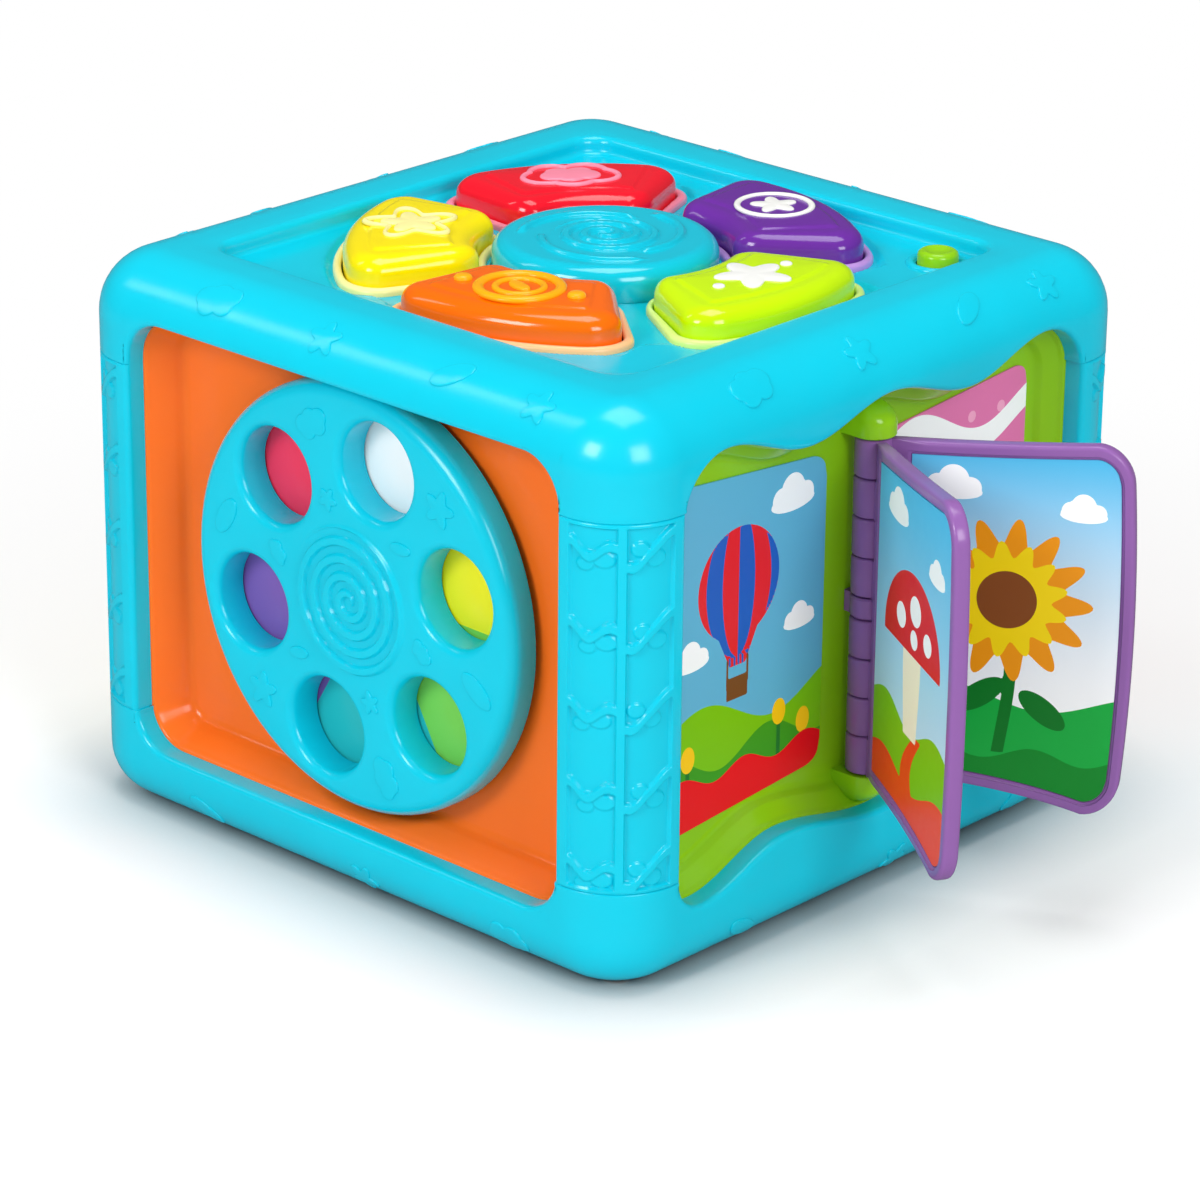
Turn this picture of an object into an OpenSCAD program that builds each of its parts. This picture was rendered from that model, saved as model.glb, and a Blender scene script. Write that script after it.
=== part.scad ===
// Activity cube: a moulded cube with a finger dial, a hinged book, gears, rollers and push buttons.
// Millimetres, +Z up. The origin is the middle of the flat underside, -Y is the dial side, +X the book side.

/* [Body] */
// Width and depth of the cube
body_w = 200; // [190:1:240]
// Height of the cube
body_h = 154; // [150:1:180]
// Radius of the upright edges, seen from above
corner_r = 20; // [18:0.5:22]
// Radius of the top outer edge
top_edge_r = 17; // [12:0.5:17.5]
// Radius of the bottom outer edge
base_edge_r = 14; // [10:0.5:16]
// Wall thickness of the shells and posts
wall = 2.5; // [2:0.1:3]
// Height of the base shell, up to the lower seam
base_h = 28.5; // [26:0.5:34]
// Height of the top shell, down to the upper seam
top_h = 27.5; // [25:0.5:34]

/* [Side openings] */
// Width of each leg of a corner post
post_leg = 22.5; // [22:0.5:28]
// Height of the bottom rail
rail_low = 18.5; // [17:0.5:24]
// Height of the top rail
rail_high = 14.5; // [14:0.5:20]
// Corner radius of a plain opening
open_corner_r = 12; // [8:0.5:16]
// Depth of the lip that turns in round an opening
lip_depth = 6; // [5:0.5:8]

/* [Panels] */
// Depth from the cube's face to the floor of a plain panel
panel_floor = 16; // [14:0.5:20]
// Depth from the cube's face to the floor of the book panel
book_floor = 13; // [12.5:0.5:16]
// Thickness of a panel's floor
panel_t = 2.5; // [2:0.1:3]
// How far a panel's side walls lean in between lip and floor
panel_slope = 6; // [4:0.5:7]
// How far the fixing flange laps above and below an opening
flange_lap = 6.5; // [6:0.5:7]

/* [Tray and buttons] */
// Width of the rim round the top tray
tray_rim = 27; // [24:0.5:27]
// Depth of the top tray
tray_depth = 6; // [4:0.5:8]
// Corner radius of the top tray
tray_corner_r = 8; // [6:0.5:12]
// Room between the ring of fan buttons and the tray's walls
fan_room = 4; // [3.5:0.5:9]
// Length of a fan button, across its ring
fan_depth = 35; // [30:0.5:38]
// Gap between the round centre button and the fan buttons
centre_gap = 4; // [3:0.25:5]
// Half of the angle that one fan button takes, in degrees
fan_half_angle = 29; // [24:0.5:29.5]
// Corner radius of a fan button
fan_corner_r = 8; // [5:0.5:9]
// Height of a button's top above the tray
button_rise = 10; // [8:0.5:13]
// Travel of a fan button and of the centre button
button_travel = 2.5; // [1.5:0.1:3]
// Gap round a button in its hole
button_gap = 0.4; // [0.3:0.05:0.6]
// Edge rounding of a button
button_round = 3; // [2:0.25:4]
// Width of the bezel round a fan button
bezel_w = 2.6; // [2:0.1:3]
// Height of that bezel
bezel_h = 2; // [1:0.25:3]
// Radius of the small mode button
mode_r = 5.5; // [4:0.25:6]
// Distance of the mode button's axis from the tray's two nearest walls
mode_inset = 11; // [9:0.5:13]
// Height of the mode button above the tray
mode_rise = 5; // [4:0.25:7]

/* [Dial] */
// Radius of the dial
dial_r = 58; // [54:0.5:58.5]
// Thickness of the dial
dial_t = 9.5; // [8:0.25:10]
// Height of the dial's axis above the middle of the opening
dial_lift = 1.5; // [0:0.25:1.5]
// Number of finger holes
finger_count = 6; // [4:1:7]
// Radius of a finger hole
finger_r = 13; // [11:0.25:14.5]
// Distance of the finger holes from the axis
finger_pitch_r = 38.5; // [36:0.5:41]
// Angle of the first finger hole, in degrees
finger_turn = 16; // [0:1:59]
// Radius of the dial's shaft
shaft_r = 6; // [5:0.25:7]
// Thickness of the colour disc
disc_t = 0.8; // [0.5:0.1:1.2]

/* [Book] */
// Distance of the hinge axis behind the cube's face
hinge_inset = 6.5; // [6:0.25:6.75]
// Radius of the hinge pin
pin_r = 2; // [1.5:0.1:2.5]
// Radius of the page knuckles
knuckle_r = 5; // [4.75:0.25:6]
// Radius of the hinge lugs on the panel
lug_r = 5.75; // [5.5:0.25:6.5]
// Number of page knuckles
knuckle_count = 8; // [4:2:8]
// Room between a page's free edge and the opening's side, with the page folded flat
page_room = 9; // [5.5:0.5:13]
// Thickness of a page's frame
page_t = 4.4; // [4:0.1:5.4]
// Width of a page's frame
page_frame = 3.5; // [3:0.1:6]
// Depth of the recess for a page's print
print_recess = 1.1; // [0.8:0.1:1.2]
// Thickness of a print
print_t = 0.4; // [0.3:0.05:0.6]
// Corner radius of a page
page_corner_r = 10; // [6:0.5:16]
// How far a page's free edge bulges between its corners
page_bulge = 2; // [0:0.5:5]
// Rest angle of the left page from straight out, in degrees
page_left_turn = -31; // [-60:1:-14]
// Rest angle of the right page from straight out, in degrees
page_right_turn = 28; // [14:1:60]

/* [Gears] */
// Gear module, as a share of the opening's half width
gear_share = 0.045; // [0.039:0.001:0.046]
// Teeth of the large gear
teeth_large = 18; // [14:1:18]
// Teeth of the medium gear
teeth_medium = 14; // [10:1:14]
// Teeth of the small gear
teeth_small = 10; // [9:1:12]
// Thickness of a gear
gear_t = 8; // [6:0.25:8.5]
// Radius of a gear's pin
gear_pin_r = 4; // [3:0.25:5]
// Backlash between gear teeth
backlash = 0.35; // [0.25:0.05:0.6]

/* [Rollers] */
// Radius of a roller
roller_r = 16; // [12:0.5:17]
// Room between the roller trough and the opening's sides
roller_room = 7.5; // [7:0.5:20]
// Radius of the roller rod
rod_r = 4; // [3:0.25:5]

/* [Electrics] */
// Room between the circuit board and the tray's walls
board_room = 1; // [-1:0.5:6]
// Thickness of the circuit board
board_t = 1.6; // [1:0.1:2]
// Height of a switch dome
dome_h = 4.4; // [4:0.1:6]
// Diameter of a cell
cell_d = 14.5; // [10.5:0.1:14.5]
// Length of a cell
cell_len = 50.5; // [44.5:0.1:50.5]
// Number of cells side by side
cell_count = 3; // [2:1:3]
// Radius of the speaker
speaker_r = 25; // [20:0.5:28]
// Radius of a grille hole
grille_hole_r = 1.5; // [1:0.1:2]

/* [Fasteners] */
// Shank radius of a shell screw
screw_r = 1.5; // [1.25:0.05:1.75]
// Shank radius of a small screw
small_screw_r = 1; // [0.75:0.05:1.25]
// Distance of a shell screw from the two faces beside it
screw_inset = 14.5; // [14:0.25:15]
// Outer radius of a shell screw's boss
boss_r = 4.5; // [4:0.1:4.6]

/* [Fits] */
// Radial clearance of a pin or shaft that turns
run_gap = 0.05; // [0.02:0.01:0.1]
// Gap between faces of parts that move past each other
face_gap = 0.3; // [0.2:0.05:0.5]
// Gap between the dial's rim and its well
rim_gap = 1.5; // [1:0.25:1.5]

/* [Hidden] */
$fn = 64;

// Faces of the cube, as quarter turns about Z from the dial side
DIAL_SIDE = 0;
BOOK_SIDE = 1;
ROLLER_SIDE = 2;
GEAR_SIDE = 3;

// Body
half_w = body_w / 2;
core_half = half_w - corner_r;
seam_low = base_h;
seam_high = body_h - top_h;
open_half = half_w - post_leg;
open_low = rail_low;
open_high = body_h - rail_high;
open_mid = (open_low + open_high) / 2;
tray_half = half_w - tray_rim;
tray_z = body_h - tray_depth;
plate_low = tray_z - wall;
overcut = 1;

// Wavy edges of the book opening: distance from the middle, and drop or rise from a plain opening's edge
wave_top = [[0, 1.5], [open_half - 46.5, 8], [open_half - 15.5, 0.5]];
wave_low = [[0, 5], [open_half - 41.5, 10], [open_half - 8.5, 1]];
wave_steps = 20;
arc_steps = 6;

// Panels
block_grow = wall - 0.5;
flange_t = panel_t;
flange_half = open_half + wall;
panel_screw_u = 42;
panel_screw_lap = 4.1;
panel_boss_r = 3;
panel_boss_depth = 3;

// Buttons
fan_outer_r = tray_half - fan_room;
fan_inner_r = fan_outer_r - fan_depth;
centre_r = fan_inner_r - centre_gap;
mode_at = tray_half - mode_inset;
fan_mid_r = (fan_inner_r + fan_outer_r) / 2;
fan_angles = [-72, 0, 72, 144, 216];
fan_gap_angle = 36;
button_top = tray_z + button_rise;
cap_wall = 2.2;
cap_flange = 2;
cap_flange_t = 2;
cap_low = plate_low - face_gap - cap_flange_t;
plunger_r = 4;
dome_gap = 3.5;
board_top = plate_low - face_gap - cap_flange_t - dome_gap - dome_h + 1.5;
board_low = board_top - board_t;
dome_top = board_top + dome_h;
dome_r = 6;
standoff_r = 4;
standoff_at = tray_half - 3;
board_w = 2 * (tray_half - board_room);

// Dial
dial_z = open_mid + dial_lift;
dial_back = panel_floor - disc_t - 0.5;
dial_front = dial_back - dial_t;
dial_round = 4;
hole_chamfer = 2.2;
bearing_r = shaft_r + 4;
bearing_end = panel_floor + panel_t + 5.5;
shaft_end = bearing_end + face_gap;
washer_t = 1.5;
washer_r = shaft_r + 3;
disc_r = dial_r - 4.5;
disc_bore = shaft_r + 2;

// Book
hinge_x = half_w - hinge_inset;
page_reach = open_half - page_room;
spine_low = open_low + 14.5;
spine_high = open_high - 14.2;
lug_top = spine_high + 9.1;
lug_low = spine_low - 9;
pin_seat = 2.5;
clip_h = 6;
knuckle_pitch = (spine_high - spine_low - clip_h - face_gap) / knuckle_count;
web_t = 2.4;
page_start = knuckle_r + 0.8;
page_full = 13;
page_flare_low = 8.5;
page_flare_top = 4.5;
page_low = spine_low + 0.5;
page_top = spine_high - 0.3;
page_mid = (page_low + page_top) / 2;
page_half = (page_top - page_low) / 2;
page_steps = 12;
print_start = 10;
print_gap = 0.2;
panel_print_in = 11;
panel_print_out = open_half - panel_slope - 2;
panel_print_low = open_low + 19;
panel_print_high = open_high - 18;
panel_print_flare = 5;
panel_print_corner = 6;

// Gears, placed on their panel by the large gear's centre
gear_module = round(open_half * gear_share * 20) / 20;
addendum = 0.8;
dedendum = 1.05;
pressure_angle = 25;
gear_front = panel_floor - 1.2 - gear_t;
gear_large_at = [4, 15];
medium_direction = 220;
small_direction = -40;
gear_head_t = 1.6;
gear_head_r = gear_pin_r + 2.5;
gear_boss_r = gear_pin_r + 3;
gear_pin_tail = panel_floor + panel_t + 3;
gear_rim = 1.2;

// Rollers
rod_depth = roller_r + 1.5;
trough_depth = rod_depth + roller_r + 2;
trough_half_h = roller_r + 3;
trough_half = open_half - roller_room;
roller_gap = 1.5;
trough_end_gap = 1;
roller_len = (trough_half - roller_gap - trough_end_gap) / 1.5;
roller_pitch = roller_len + roller_gap;
trough_wall = 3;
rod_half = trough_half + trough_wall - 0.5;
roller_wall = 2;
roller_hub = rod_r + 2.5;
roller_web = 3;

// Battery box and speaker
cell_pitch = cell_d + 0.6;
box_x = 58 - half_w;
box_inner_l = cell_len + 5.5;
box_inner_w = cell_count * cell_pitch;
box_inner_h = cell_d + 2;
box_wall = 1.5;
box_flange = 8;
door_lap = 5;
door_gap = 0.3;
door_t = 2;
contact_t = 0.8;
speaker_x = half_w - 54;
speaker_seat = 2.5;
grille_ring = 7;
grille_rings = 2;

// Fasteners
screw_at = half_w - screw_inset;
head_ratio = 2.1;
head_t = 2.4;
small_head_t = 1.2;
counterbore_z = seam_low - 8.5;
post_boss_low = 16;
post_boss_high = 6.5;
rib_step = 0.6;
shell_screw_len = 22;

// Shapes that repeat

function arc(cx, cy, r, a0, a1, n) =
    [for (i = [0:n]) [cx + r * cos(a0 + (a1 - a0) * i / n), cy + r * sin(a0 + (a1 - a0) * i / n)]];

// Half-cosine swell through three knots of [distance, height]
function knot_span(k, i, s) =
    k[i][1] + (k[i + 1][1] - k[i][1]) * (1 - cos(180 * (s - k[i][0]) / (k[i + 1][0] - k[i][0]))) / 2;
function swell(k, s) = s <= k[1][0] ? knot_span(k, 0, s) : knot_span(k, 1, s);

// Right half of the book opening, from bottom middle to top middle, grown outwards by g
function book_half(g) =
    let (low_end = wave_low[2][0], top_end = wave_top[2][0],
         low_r = open_half - low_end, top_r = open_half - top_end)
    concat(
        [for (i = [0:wave_steps - 1])
            [i * low_end / wave_steps, open_low + swell(wave_low, i * low_end / wave_steps) - g]],
        arc(low_end, open_low + wave_low[2][1] + low_r, low_r + g, -90, 0, arc_steps),
        arc(top_end, open_high - wave_top[2][1] - top_r, top_r + g, 0, 90, arc_steps),
        [for (i = [wave_steps - 1:-1:0])
            [i * top_end / wave_steps, open_high - swell(wave_top, i * top_end / wave_steps) + g]]
    );

// Whole book opening, counter-clockwise
function book_outline(g) =
    let (h = book_half(g)) concat(h, [for (i = [len(h) - 2:-1:1]) [-h[i][0], h[i][1]]]);

// Rounded rectangle with extra points along its bottom and top edges, counter-clockwise
function rounded_box(x0, x1, y0, y1, r, n_edge, n_arc) = concat(
    [for (i = [1:n_edge - 1]) [x0 + r + (x1 - x0 - 2 * r) * i / n_edge, y0]],
    arc(x1 - r, y0 + r, r, -90, 0, n_arc),
    arc(x1 - r, y1 - r, r, 0, 90, n_arc),
    [for (i = [1:n_edge - 1]) [x1 - r - (x1 - x0 - 2 * r) * i / n_edge, y1]],
    arc(x0 + r, y1 - r, r, 90, 180, n_arc),
    arc(x0 + r, y0 + r, r, 180, 270, n_arc)
);

// Plain opening, grown outwards by g
function plain_outline(g) =
    rounded_box(-open_half - g, open_half + g, open_low - g, open_high + g, open_corner_r + g, 1, arc_steps);

// Outline of a fan button: a rounded box bent round the cube's axis, grown inwards, outwards and sideways
function fan_outline(g_in, g_out, g_side) =
    let (half = fan_half_angle * PI / 180 * fan_mid_r + g_side,
         r = max(1, fan_corner_r + min(g_in, g_out, g_side)),
         box = rounded_box(-half, half, fan_inner_r - g_in, fan_outer_r + g_out, r, 8, 4))
    [for (p = box) [p[1] * cos(p[0] / fan_mid_r * 180 / PI), -p[1] * sin(p[0] / fan_mid_r * 180 / PI)]];

// Solid through a stack of counter-clockwise rings of 3D points, closed by fans from two middles
module loft(rings, low_middle, high_middle) {
    n = len(rings[0]);
    m = len(rings);
    points = concat([for (ring = rings) each ring], [low_middle, high_middle]);
    sides = [for (k = [0:m - 2], i = [0:n - 1])
        let (a = k * n + i, b = k * n + (i + 1) % n, c = b + n, d = a + n)
        each [[a, d, c], [a, c, b]]];
    low_fan = [for (i = [0:n - 1]) [m * n, i, (i + 1) % n]];
    high_fan = [for (i = [0:n - 1]) [m * n + 1, (m - 1) * n + (i + 1) % n, (m - 1) * n + i]];
    polyhedron(points, concat(sides, low_fan, high_fan));
}

module rounded_square(half, r) {
    square([2 * half, 2 * (half - r)], center = true);
    square([2 * (half - r), 2 * half], center = true);
    for (x = [-1, 1], y = [-1, 1])
        translate([x * (half - r), y * (half - r)]) circle(r);
}

module rounded_rect(x0, x1, y0, y1, r) {
    translate([x0 + r, y0]) square([x1 - x0 - 2 * r, y1 - y0]);
    translate([x0, y0 + r]) square([x1 - x0, y1 - y0 - 2 * r]);
    for (x = [x0 + r, x1 - r], y = [y0 + r, y1 - r])
        translate([x, y]) circle(r);
}

// Turns what is built on the dial side to another side
module on_side(side) {
    rotate([0, 0, 90 * side]) children();
}

// Extrudes an outline of width and height between two depths behind the dial side's face
module face_slab(p0, p1) {
    translate([0, p1 - half_w, 0]) rotate([90, 0, 0]) linear_extrude(p1 - p0) children();
}

// Rod at right angles to the dial side's face, between two depths
module face_rod(u, z, p0, p1, r) {
    translate([u, p1 - half_w, z]) rotate([90, 0, 0]) cylinder(h = p1 - p0, r = r);
}

// Frame on the dial side with local Z as depth, local X to the right and local Y downwards
module depth_frame(u, z) {
    translate([u, -half_w, z]) rotate([-90, 0, 0]) children();
}

module opening_2d(side, g) {
    if (side == BOOK_SIDE) polygon(book_outline(g));
    else rounded_rect(-open_half - g, open_half + g, open_low - g, open_high + g, open_corner_r + g);
}

module at_corners() {
    for (i = [0:3]) rotate([0, 0, 90 * i]) children();
}

// Screw along +Z with its head below zero
module screw(r, length, head) {
    translate([0, 0, -head]) cylinder(h = head, r = r * head_ratio);
    translate([0, 0, -overcut / 2]) cylinder(h = length + overcut / 2, r = r);
}

// Places of the four screws of a panel, seen from outside
module at_panel_screws() {
    for (u = [-panel_screw_u, panel_screw_u], z = [open_low - panel_screw_lap, open_high + panel_screw_lap])
        translate([u, 0, z]) children();
}

module panel_bosses() {
    for (side = [0:3], u = [-panel_screw_u, panel_screw_u]) on_side(side) {
        face_rod(u, open_low - panel_screw_lap, wall - 0.5, lip_depth, panel_boss_r);
        face_rod(u, open_high + panel_screw_lap, panel_boss_depth, lip_depth, panel_boss_r);
    }
}

module panel_pilots() {
    for (side = [0:3]) on_side(side) at_panel_screws()
        face_rod(0, 0, panel_boss_depth + 0.4, lip_depth + overcut, small_screw_r + run_gap);
}

// Lips round the four openings, between two heights
module lips(z0, z1) {
    intersection() {
        translate([-half_w, -half_w, z0]) cube([body_w, body_w, z1 - z0]);
        union() for (side = [0:3]) on_side(side) face_slab(wall - 0.5, lip_depth) opening_2d(side, wall);
    }
}

module opening_cuts() {
    for (side = [0:3]) on_side(side) face_slab(-overcut, lip_depth + overcut) opening_2d(side, 0);
}

// Wall section turned round the cube: four straight sides and four round corners
module around() {
    for (i = [0:3]) rotate([0, 0, 90 * i]) {
        translate([core_half, core_half, 0]) rotate([90, 0, 0]) linear_extrude(2 * core_half) children();
        translate([core_half, core_half, 0]) rotate_extrude(angle = 90) children();
    }
}

module quarter(r) {
    intersection() {
        circle(r);
        square(r);
    }
}

// Section of an upright wall that rounds over with radius r at the top, its outside at corner_r
module rounded_wall(r, height) {
    difference() {
        union() {
            quarter(r);
            translate([0, -height]) square([r, height]);
        }
        quarter(r - wall);
        translate([0, -height - overcut]) square([r - wall, height + overcut]);
    }
}

// Shells and posts

module top_shell() color("#12c4e0") {
    edge_z = body_h - top_edge_r;
    boss_top = body_h - 4;
    difference() {
        union() {
            around() translate([corner_r - top_edge_r, edge_z]) rounded_wall(top_edge_r, edge_z - seam_high);
            translate([0, 0, body_h - wall])
                linear_extrude(wall) rounded_square(half_w - top_edge_r, corner_r - top_edge_r);
            translate([0, 0, plate_low])
                linear_extrude(body_h - plate_low) rounded_square(tray_half + wall, tray_corner_r + wall);
            lips(seam_high, body_h - wall);
            intersection() {
                panel_bosses();
                translate([-half_w, -half_w, seam_high]) cube([body_w, body_w, top_h]);
            }
            at_corners() translate([screw_at, screw_at, seam_high])
                cylinder(h = boss_top - seam_high, r = boss_r);
            for (i = [0:4]) rotate([0, 0, fan_gap_angle + 72 * i]) translate([standoff_at, 0, board_top])
                cylinder(h = tray_z - wall / 2 - board_top, r = standoff_r);
        }
        translate([0, 0, tray_z])
            linear_extrude(tray_depth + overcut) rounded_square(tray_half, tray_corner_r);
        opening_cuts();
        panel_pilots();
        for (a = fan_angles) rotate([0, 0, a]) translate([0, 0, plate_low - overcut])
            linear_extrude(wall + 2 * overcut) polygon(fan_outline(button_gap, button_gap, button_gap));
        translate([0, 0, plate_low - overcut]) cylinder(h = wall + 2 * overcut, r = centre_r + button_gap);
        translate([mode_at, mode_at, plate_low - overcut])
            cylinder(h = wall + 2 * overcut, r = mode_r + button_gap);
        at_corners() translate([screw_at, screw_at, seam_high - overcut])
            cylinder(h = shell_screw_len - post_boss_high + 3 + overcut, r = screw_r + run_gap);
        for (i = [0:4]) rotate([0, 0, fan_gap_angle + 72 * i]) translate([standoff_at, 0, board_top - overcut])
            cylinder(h = 8 + overcut, r = small_screw_r + run_gap);
    }
}

module base_shell() color("#12c4e0") {
    difference() {
        union() {
            around() translate([corner_r - base_edge_r, base_edge_r]) mirror([0, 1])
                rounded_wall(base_edge_r, seam_low - base_edge_r);
            linear_extrude(wall) rounded_square(half_w - base_edge_r, corner_r - base_edge_r);
            lips(wall, seam_low);
            intersection() {
                panel_bosses();
                translate([-half_w, -half_w, 0]) cube([body_w, body_w, seam_low]);
            }
            at_corners() translate([screw_at, screw_at, wall / 2])
                cylinder(h = seam_low - wall / 2, r = boss_r);
            translate([speaker_x, 0, wall / 2])
                cylinder(h = wall / 2 + speaker_seat, r = speaker_r + wall);
        }
        opening_cuts();
        panel_pilots();
        at_corners() translate([screw_at, screw_at, -overcut]) {
            cylinder(h = counterbore_z + overcut, r = screw_r * head_ratio + face_gap);
            cylinder(h = seam_low + 2 * overcut, r = screw_r + face_gap);
        }
        translate([speaker_x, 0, wall]) cylinder(h = speaker_seat + overcut, r = speaker_r - 4);
        translate([speaker_x, 0, wall + speaker_seat - 1]) cylinder(h = 1 + overcut, r = speaker_r + face_gap);
        translate([speaker_x, 0, -overcut]) grille_holes();
        translate([box_x, 0, -overcut]) linear_extrude(wall + 2 * overcut)
            square([door_l() + 2 * door_gap, door_w() + 2 * door_gap], center = true);
    }
}

module grille_holes() {
    cylinder(h = wall + 2 * overcut, r = grille_hole_r);
    for (ring = [1:grille_rings], i = [0:6 * ring - 1]) rotate([0, 0, 60 * i / ring])
        translate([grille_ring * ring, 0, 0]) cylinder(h = wall + 2 * overcut, r = grille_hole_r);
}

// Post for the corner at +X and +Y; the others are turned from it
module corner_post(quarter_turn) color("#12c4e0") rotate([0, 0, 90 * quarter_turn]) {
    height = seam_high - seam_low;
    difference() {
        union() {
            translate([0, 0, seam_low]) linear_extrude(height) post_plan();
            post_boss(seam_low, post_boss_low);
            post_boss(seam_high - post_boss_high, post_boss_high);
        }
        translate([screw_at, screw_at, seam_low - overcut])
            cylinder(h = post_boss_low + 2 * overcut, r = screw_r + run_gap);
        translate([screw_at, screw_at, seam_high - post_boss_high - overcut])
            cylinder(h = post_boss_high + 2 * overcut, r = screw_r + face_gap);
    }
}

module post_plan() {
    translate([core_half, core_half]) difference() {
        quarter(corner_r);
        quarter(corner_r - wall);
    }
    for (m = [0, 1]) mirror([m, -m]) {
        translate([open_half, half_w - wall]) square([core_half - open_half, wall]);
        translate([open_half, half_w - lip_depth]) square([wall, lip_depth]);
    }
}

// Screw boss of a post, with a rib out to the round wall
module post_boss(z, height) {
    translate([screw_at, screw_at, z]) {
        cylinder(h = height, r = boss_r);
        rotate([0, 0, 45]) translate([0, -wall / 2, rib_step])
            cube([corner_r - wall / 2 - (screw_at - core_half) * sqrt(2), wall, height - 2 * rib_step]);
    }
}

// Side panels

// Recess between lip and floor, with leaning walls
module pocket(side, floor_p) {
    outline_out = side == BOOK_SIDE ? book_outline(0) : plain_outline(0);
    outline_in = side == BOOK_SIDE ? book_outline(-panel_slope) : plain_outline(-panel_slope);
    translate([0, -half_w, 0]) rotate([90, 0, 0]) loft(
        [[for (p = outline_in) [p[0], p[1], -floor_p]],
         [for (p = outline_out) [p[0], p[1], -lip_depth]],
         [for (p = outline_out) [p[0], p[1], -lip_depth + overcut]]],
        [0, open_mid, -floor_p], [0, open_mid, -lip_depth + overcut]);
}

// Flange and block of a panel before its recess is cut
module panel_blank(side, floor_p) {
    face_slab(lip_depth, lip_depth + flange_t)
        rounded_rect(-flange_half, flange_half, open_low - flange_lap, open_high + flange_lap, open_corner_r / 2);
    face_slab(lip_depth, floor_p + panel_t) opening_2d(side, block_grow);
}

module panel_screw_holes() {
    at_panel_screws() face_rod(0, 0, lip_depth - overcut, lip_depth + flange_t + overcut, small_screw_r + face_gap);
}

module dial_panel() color("#ff7a22") on_side(DIAL_SIDE) {
    difference() {
        union() {
            difference() {
                panel_blank(DIAL_SIDE, panel_floor);
                pocket(DIAL_SIDE, panel_floor);
                face_rod(0, dial_z, lip_depth - overcut, panel_floor, dial_r + rim_gap);
            }
            face_rod(0, dial_z, panel_floor, bearing_end, bearing_r);
        }
        face_rod(0, dial_z, lip_depth, bearing_end + overcut, shaft_r + run_gap);
        panel_screw_holes();
    }
}

module book_panel() color("#9ed316") on_side(BOOK_SIDE) {
    difference() {
        union() {
            difference() {
                panel_blank(BOOK_SIDE, book_floor);
                pocket(BOOK_SIDE, book_floor);
            }
            hinge_lug(spine_high + face_gap, lug_top, true);
            hinge_lug(lug_low, spine_low - face_gap, false);
        }
        translate([0, hinge_inset - half_w, lug_low + pin_seat])
            cylinder(h = lug_top - lug_low - 2 * pin_seat, r = pin_r + run_gap);
        panel_screw_holes();
    }
}

// Lug for one end of the hinge pin, with a domed top if it is the upper one
module hinge_lug(z0, z1, domed) {
    straight = domed ? z1 - lug_r : z1;
    translate([0, hinge_inset - half_w, 0]) {
        rotate_extrude() {
            translate([0, z0]) square([lug_r, straight - z0]);
            if (domed) translate([0, straight]) quarter(lug_r);
        }
        translate([-lug_r + 1, 0, z0]) cube([2 * lug_r - 2, book_floor + panel_t / 2 - hinge_inset, straight - z0]);
    }
}

module gear_panel() color("#ffd21a") on_side(GEAR_SIDE) {
    difference() {
        union() {
            difference() {
                panel_blank(GEAR_SIDE, panel_floor);
                pocket(GEAR_SIDE, panel_floor);
            }
            for (at = gear_places())
                face_rod(at[0], at[1], gear_front + gear_t + face_gap, gear_pin_tail, gear_boss_r);
        }
        for (at = gear_places())
            face_rod(at[0], at[1], lip_depth, gear_pin_tail + overcut, gear_pin_r + run_gap);
        panel_screw_holes();
    }
}

module roller_panel() color("#e8323c") on_side(ROLLER_SIDE) {
    back = trough_depth + trough_wall;
    difference() {
        union() {
            difference() {
                panel_blank(ROLLER_SIDE, panel_floor);
                pocket(ROLLER_SIDE, panel_floor);
            }
            face_slab(panel_floor, back) translate([0, open_mid])
                square([2 * (trough_half + trough_wall), 2 * (trough_half_h + trough_wall)], center = true);
            for (s = [-1, 1]) face_slab(lip_depth + flange_t, panel_floor + overcut)
                translate([s * (trough_half + trough_wall / 2), open_mid])
                    square([trough_wall, 4 * rod_r], center = true);
        }
        face_slab(lip_depth - overcut, trough_depth) translate([0, open_mid])
            square([2 * trough_half, 2 * trough_half_h], center = true);
        translate([-rod_half, rod_depth - half_w, open_mid]) rotate([0, 90, 0])
            cylinder(h = 2 * rod_half, r = rod_r + run_gap);
        panel_screw_holes();
    }
}

// Dial

module colour_disc() color("white") on_side(DIAL_SIDE) difference() {
    face_rod(0, dial_z, panel_floor - disc_t, panel_floor, disc_r);
    face_rod(0, dial_z, panel_floor - disc_t - overcut, panel_floor + overcut, disc_bore);
}

module dial() color("#1fb4d2") on_side(DIAL_SIDE) depth_frame(0, dial_z) {
    difference() {
        rotate_extrude() difference() {
            union() {
                translate([0, dial_front]) square([dial_r - dial_round, dial_t]);
                translate([0, dial_front + dial_round]) square([dial_r, dial_t - dial_round]);
                translate([dial_r - dial_round, dial_front + dial_round]) circle(dial_round);
                translate([0, dial_back - overcut]) square([shaft_r, shaft_end - dial_back + overcut]);
            }
            translate([0, dial_front + 4]) square([screw_r + run_gap, shaft_end - dial_front]);
        }
        for (i = [0:finger_count - 1]) rotate([0, 0, -finger_turn - 360 / finger_count * i])
            translate([finger_pitch_r, 0, dial_front]) {
                translate([0, 0, -overcut]) cylinder(h = dial_t + 2 * overcut, r = finger_r);
                translate([0, 0, -0.01]) cylinder(h = hole_chamfer, r1 = finger_r + hole_chamfer, r2 = finger_r);
            }
    }
}

module dial_washer() color("silver") on_side(DIAL_SIDE) difference() {
    face_rod(0, dial_z, shaft_end, shaft_end + washer_t, washer_r);
    face_rod(0, dial_z, shaft_end - overcut, shaft_end + washer_t + overcut, screw_r + run_gap);
}

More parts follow.
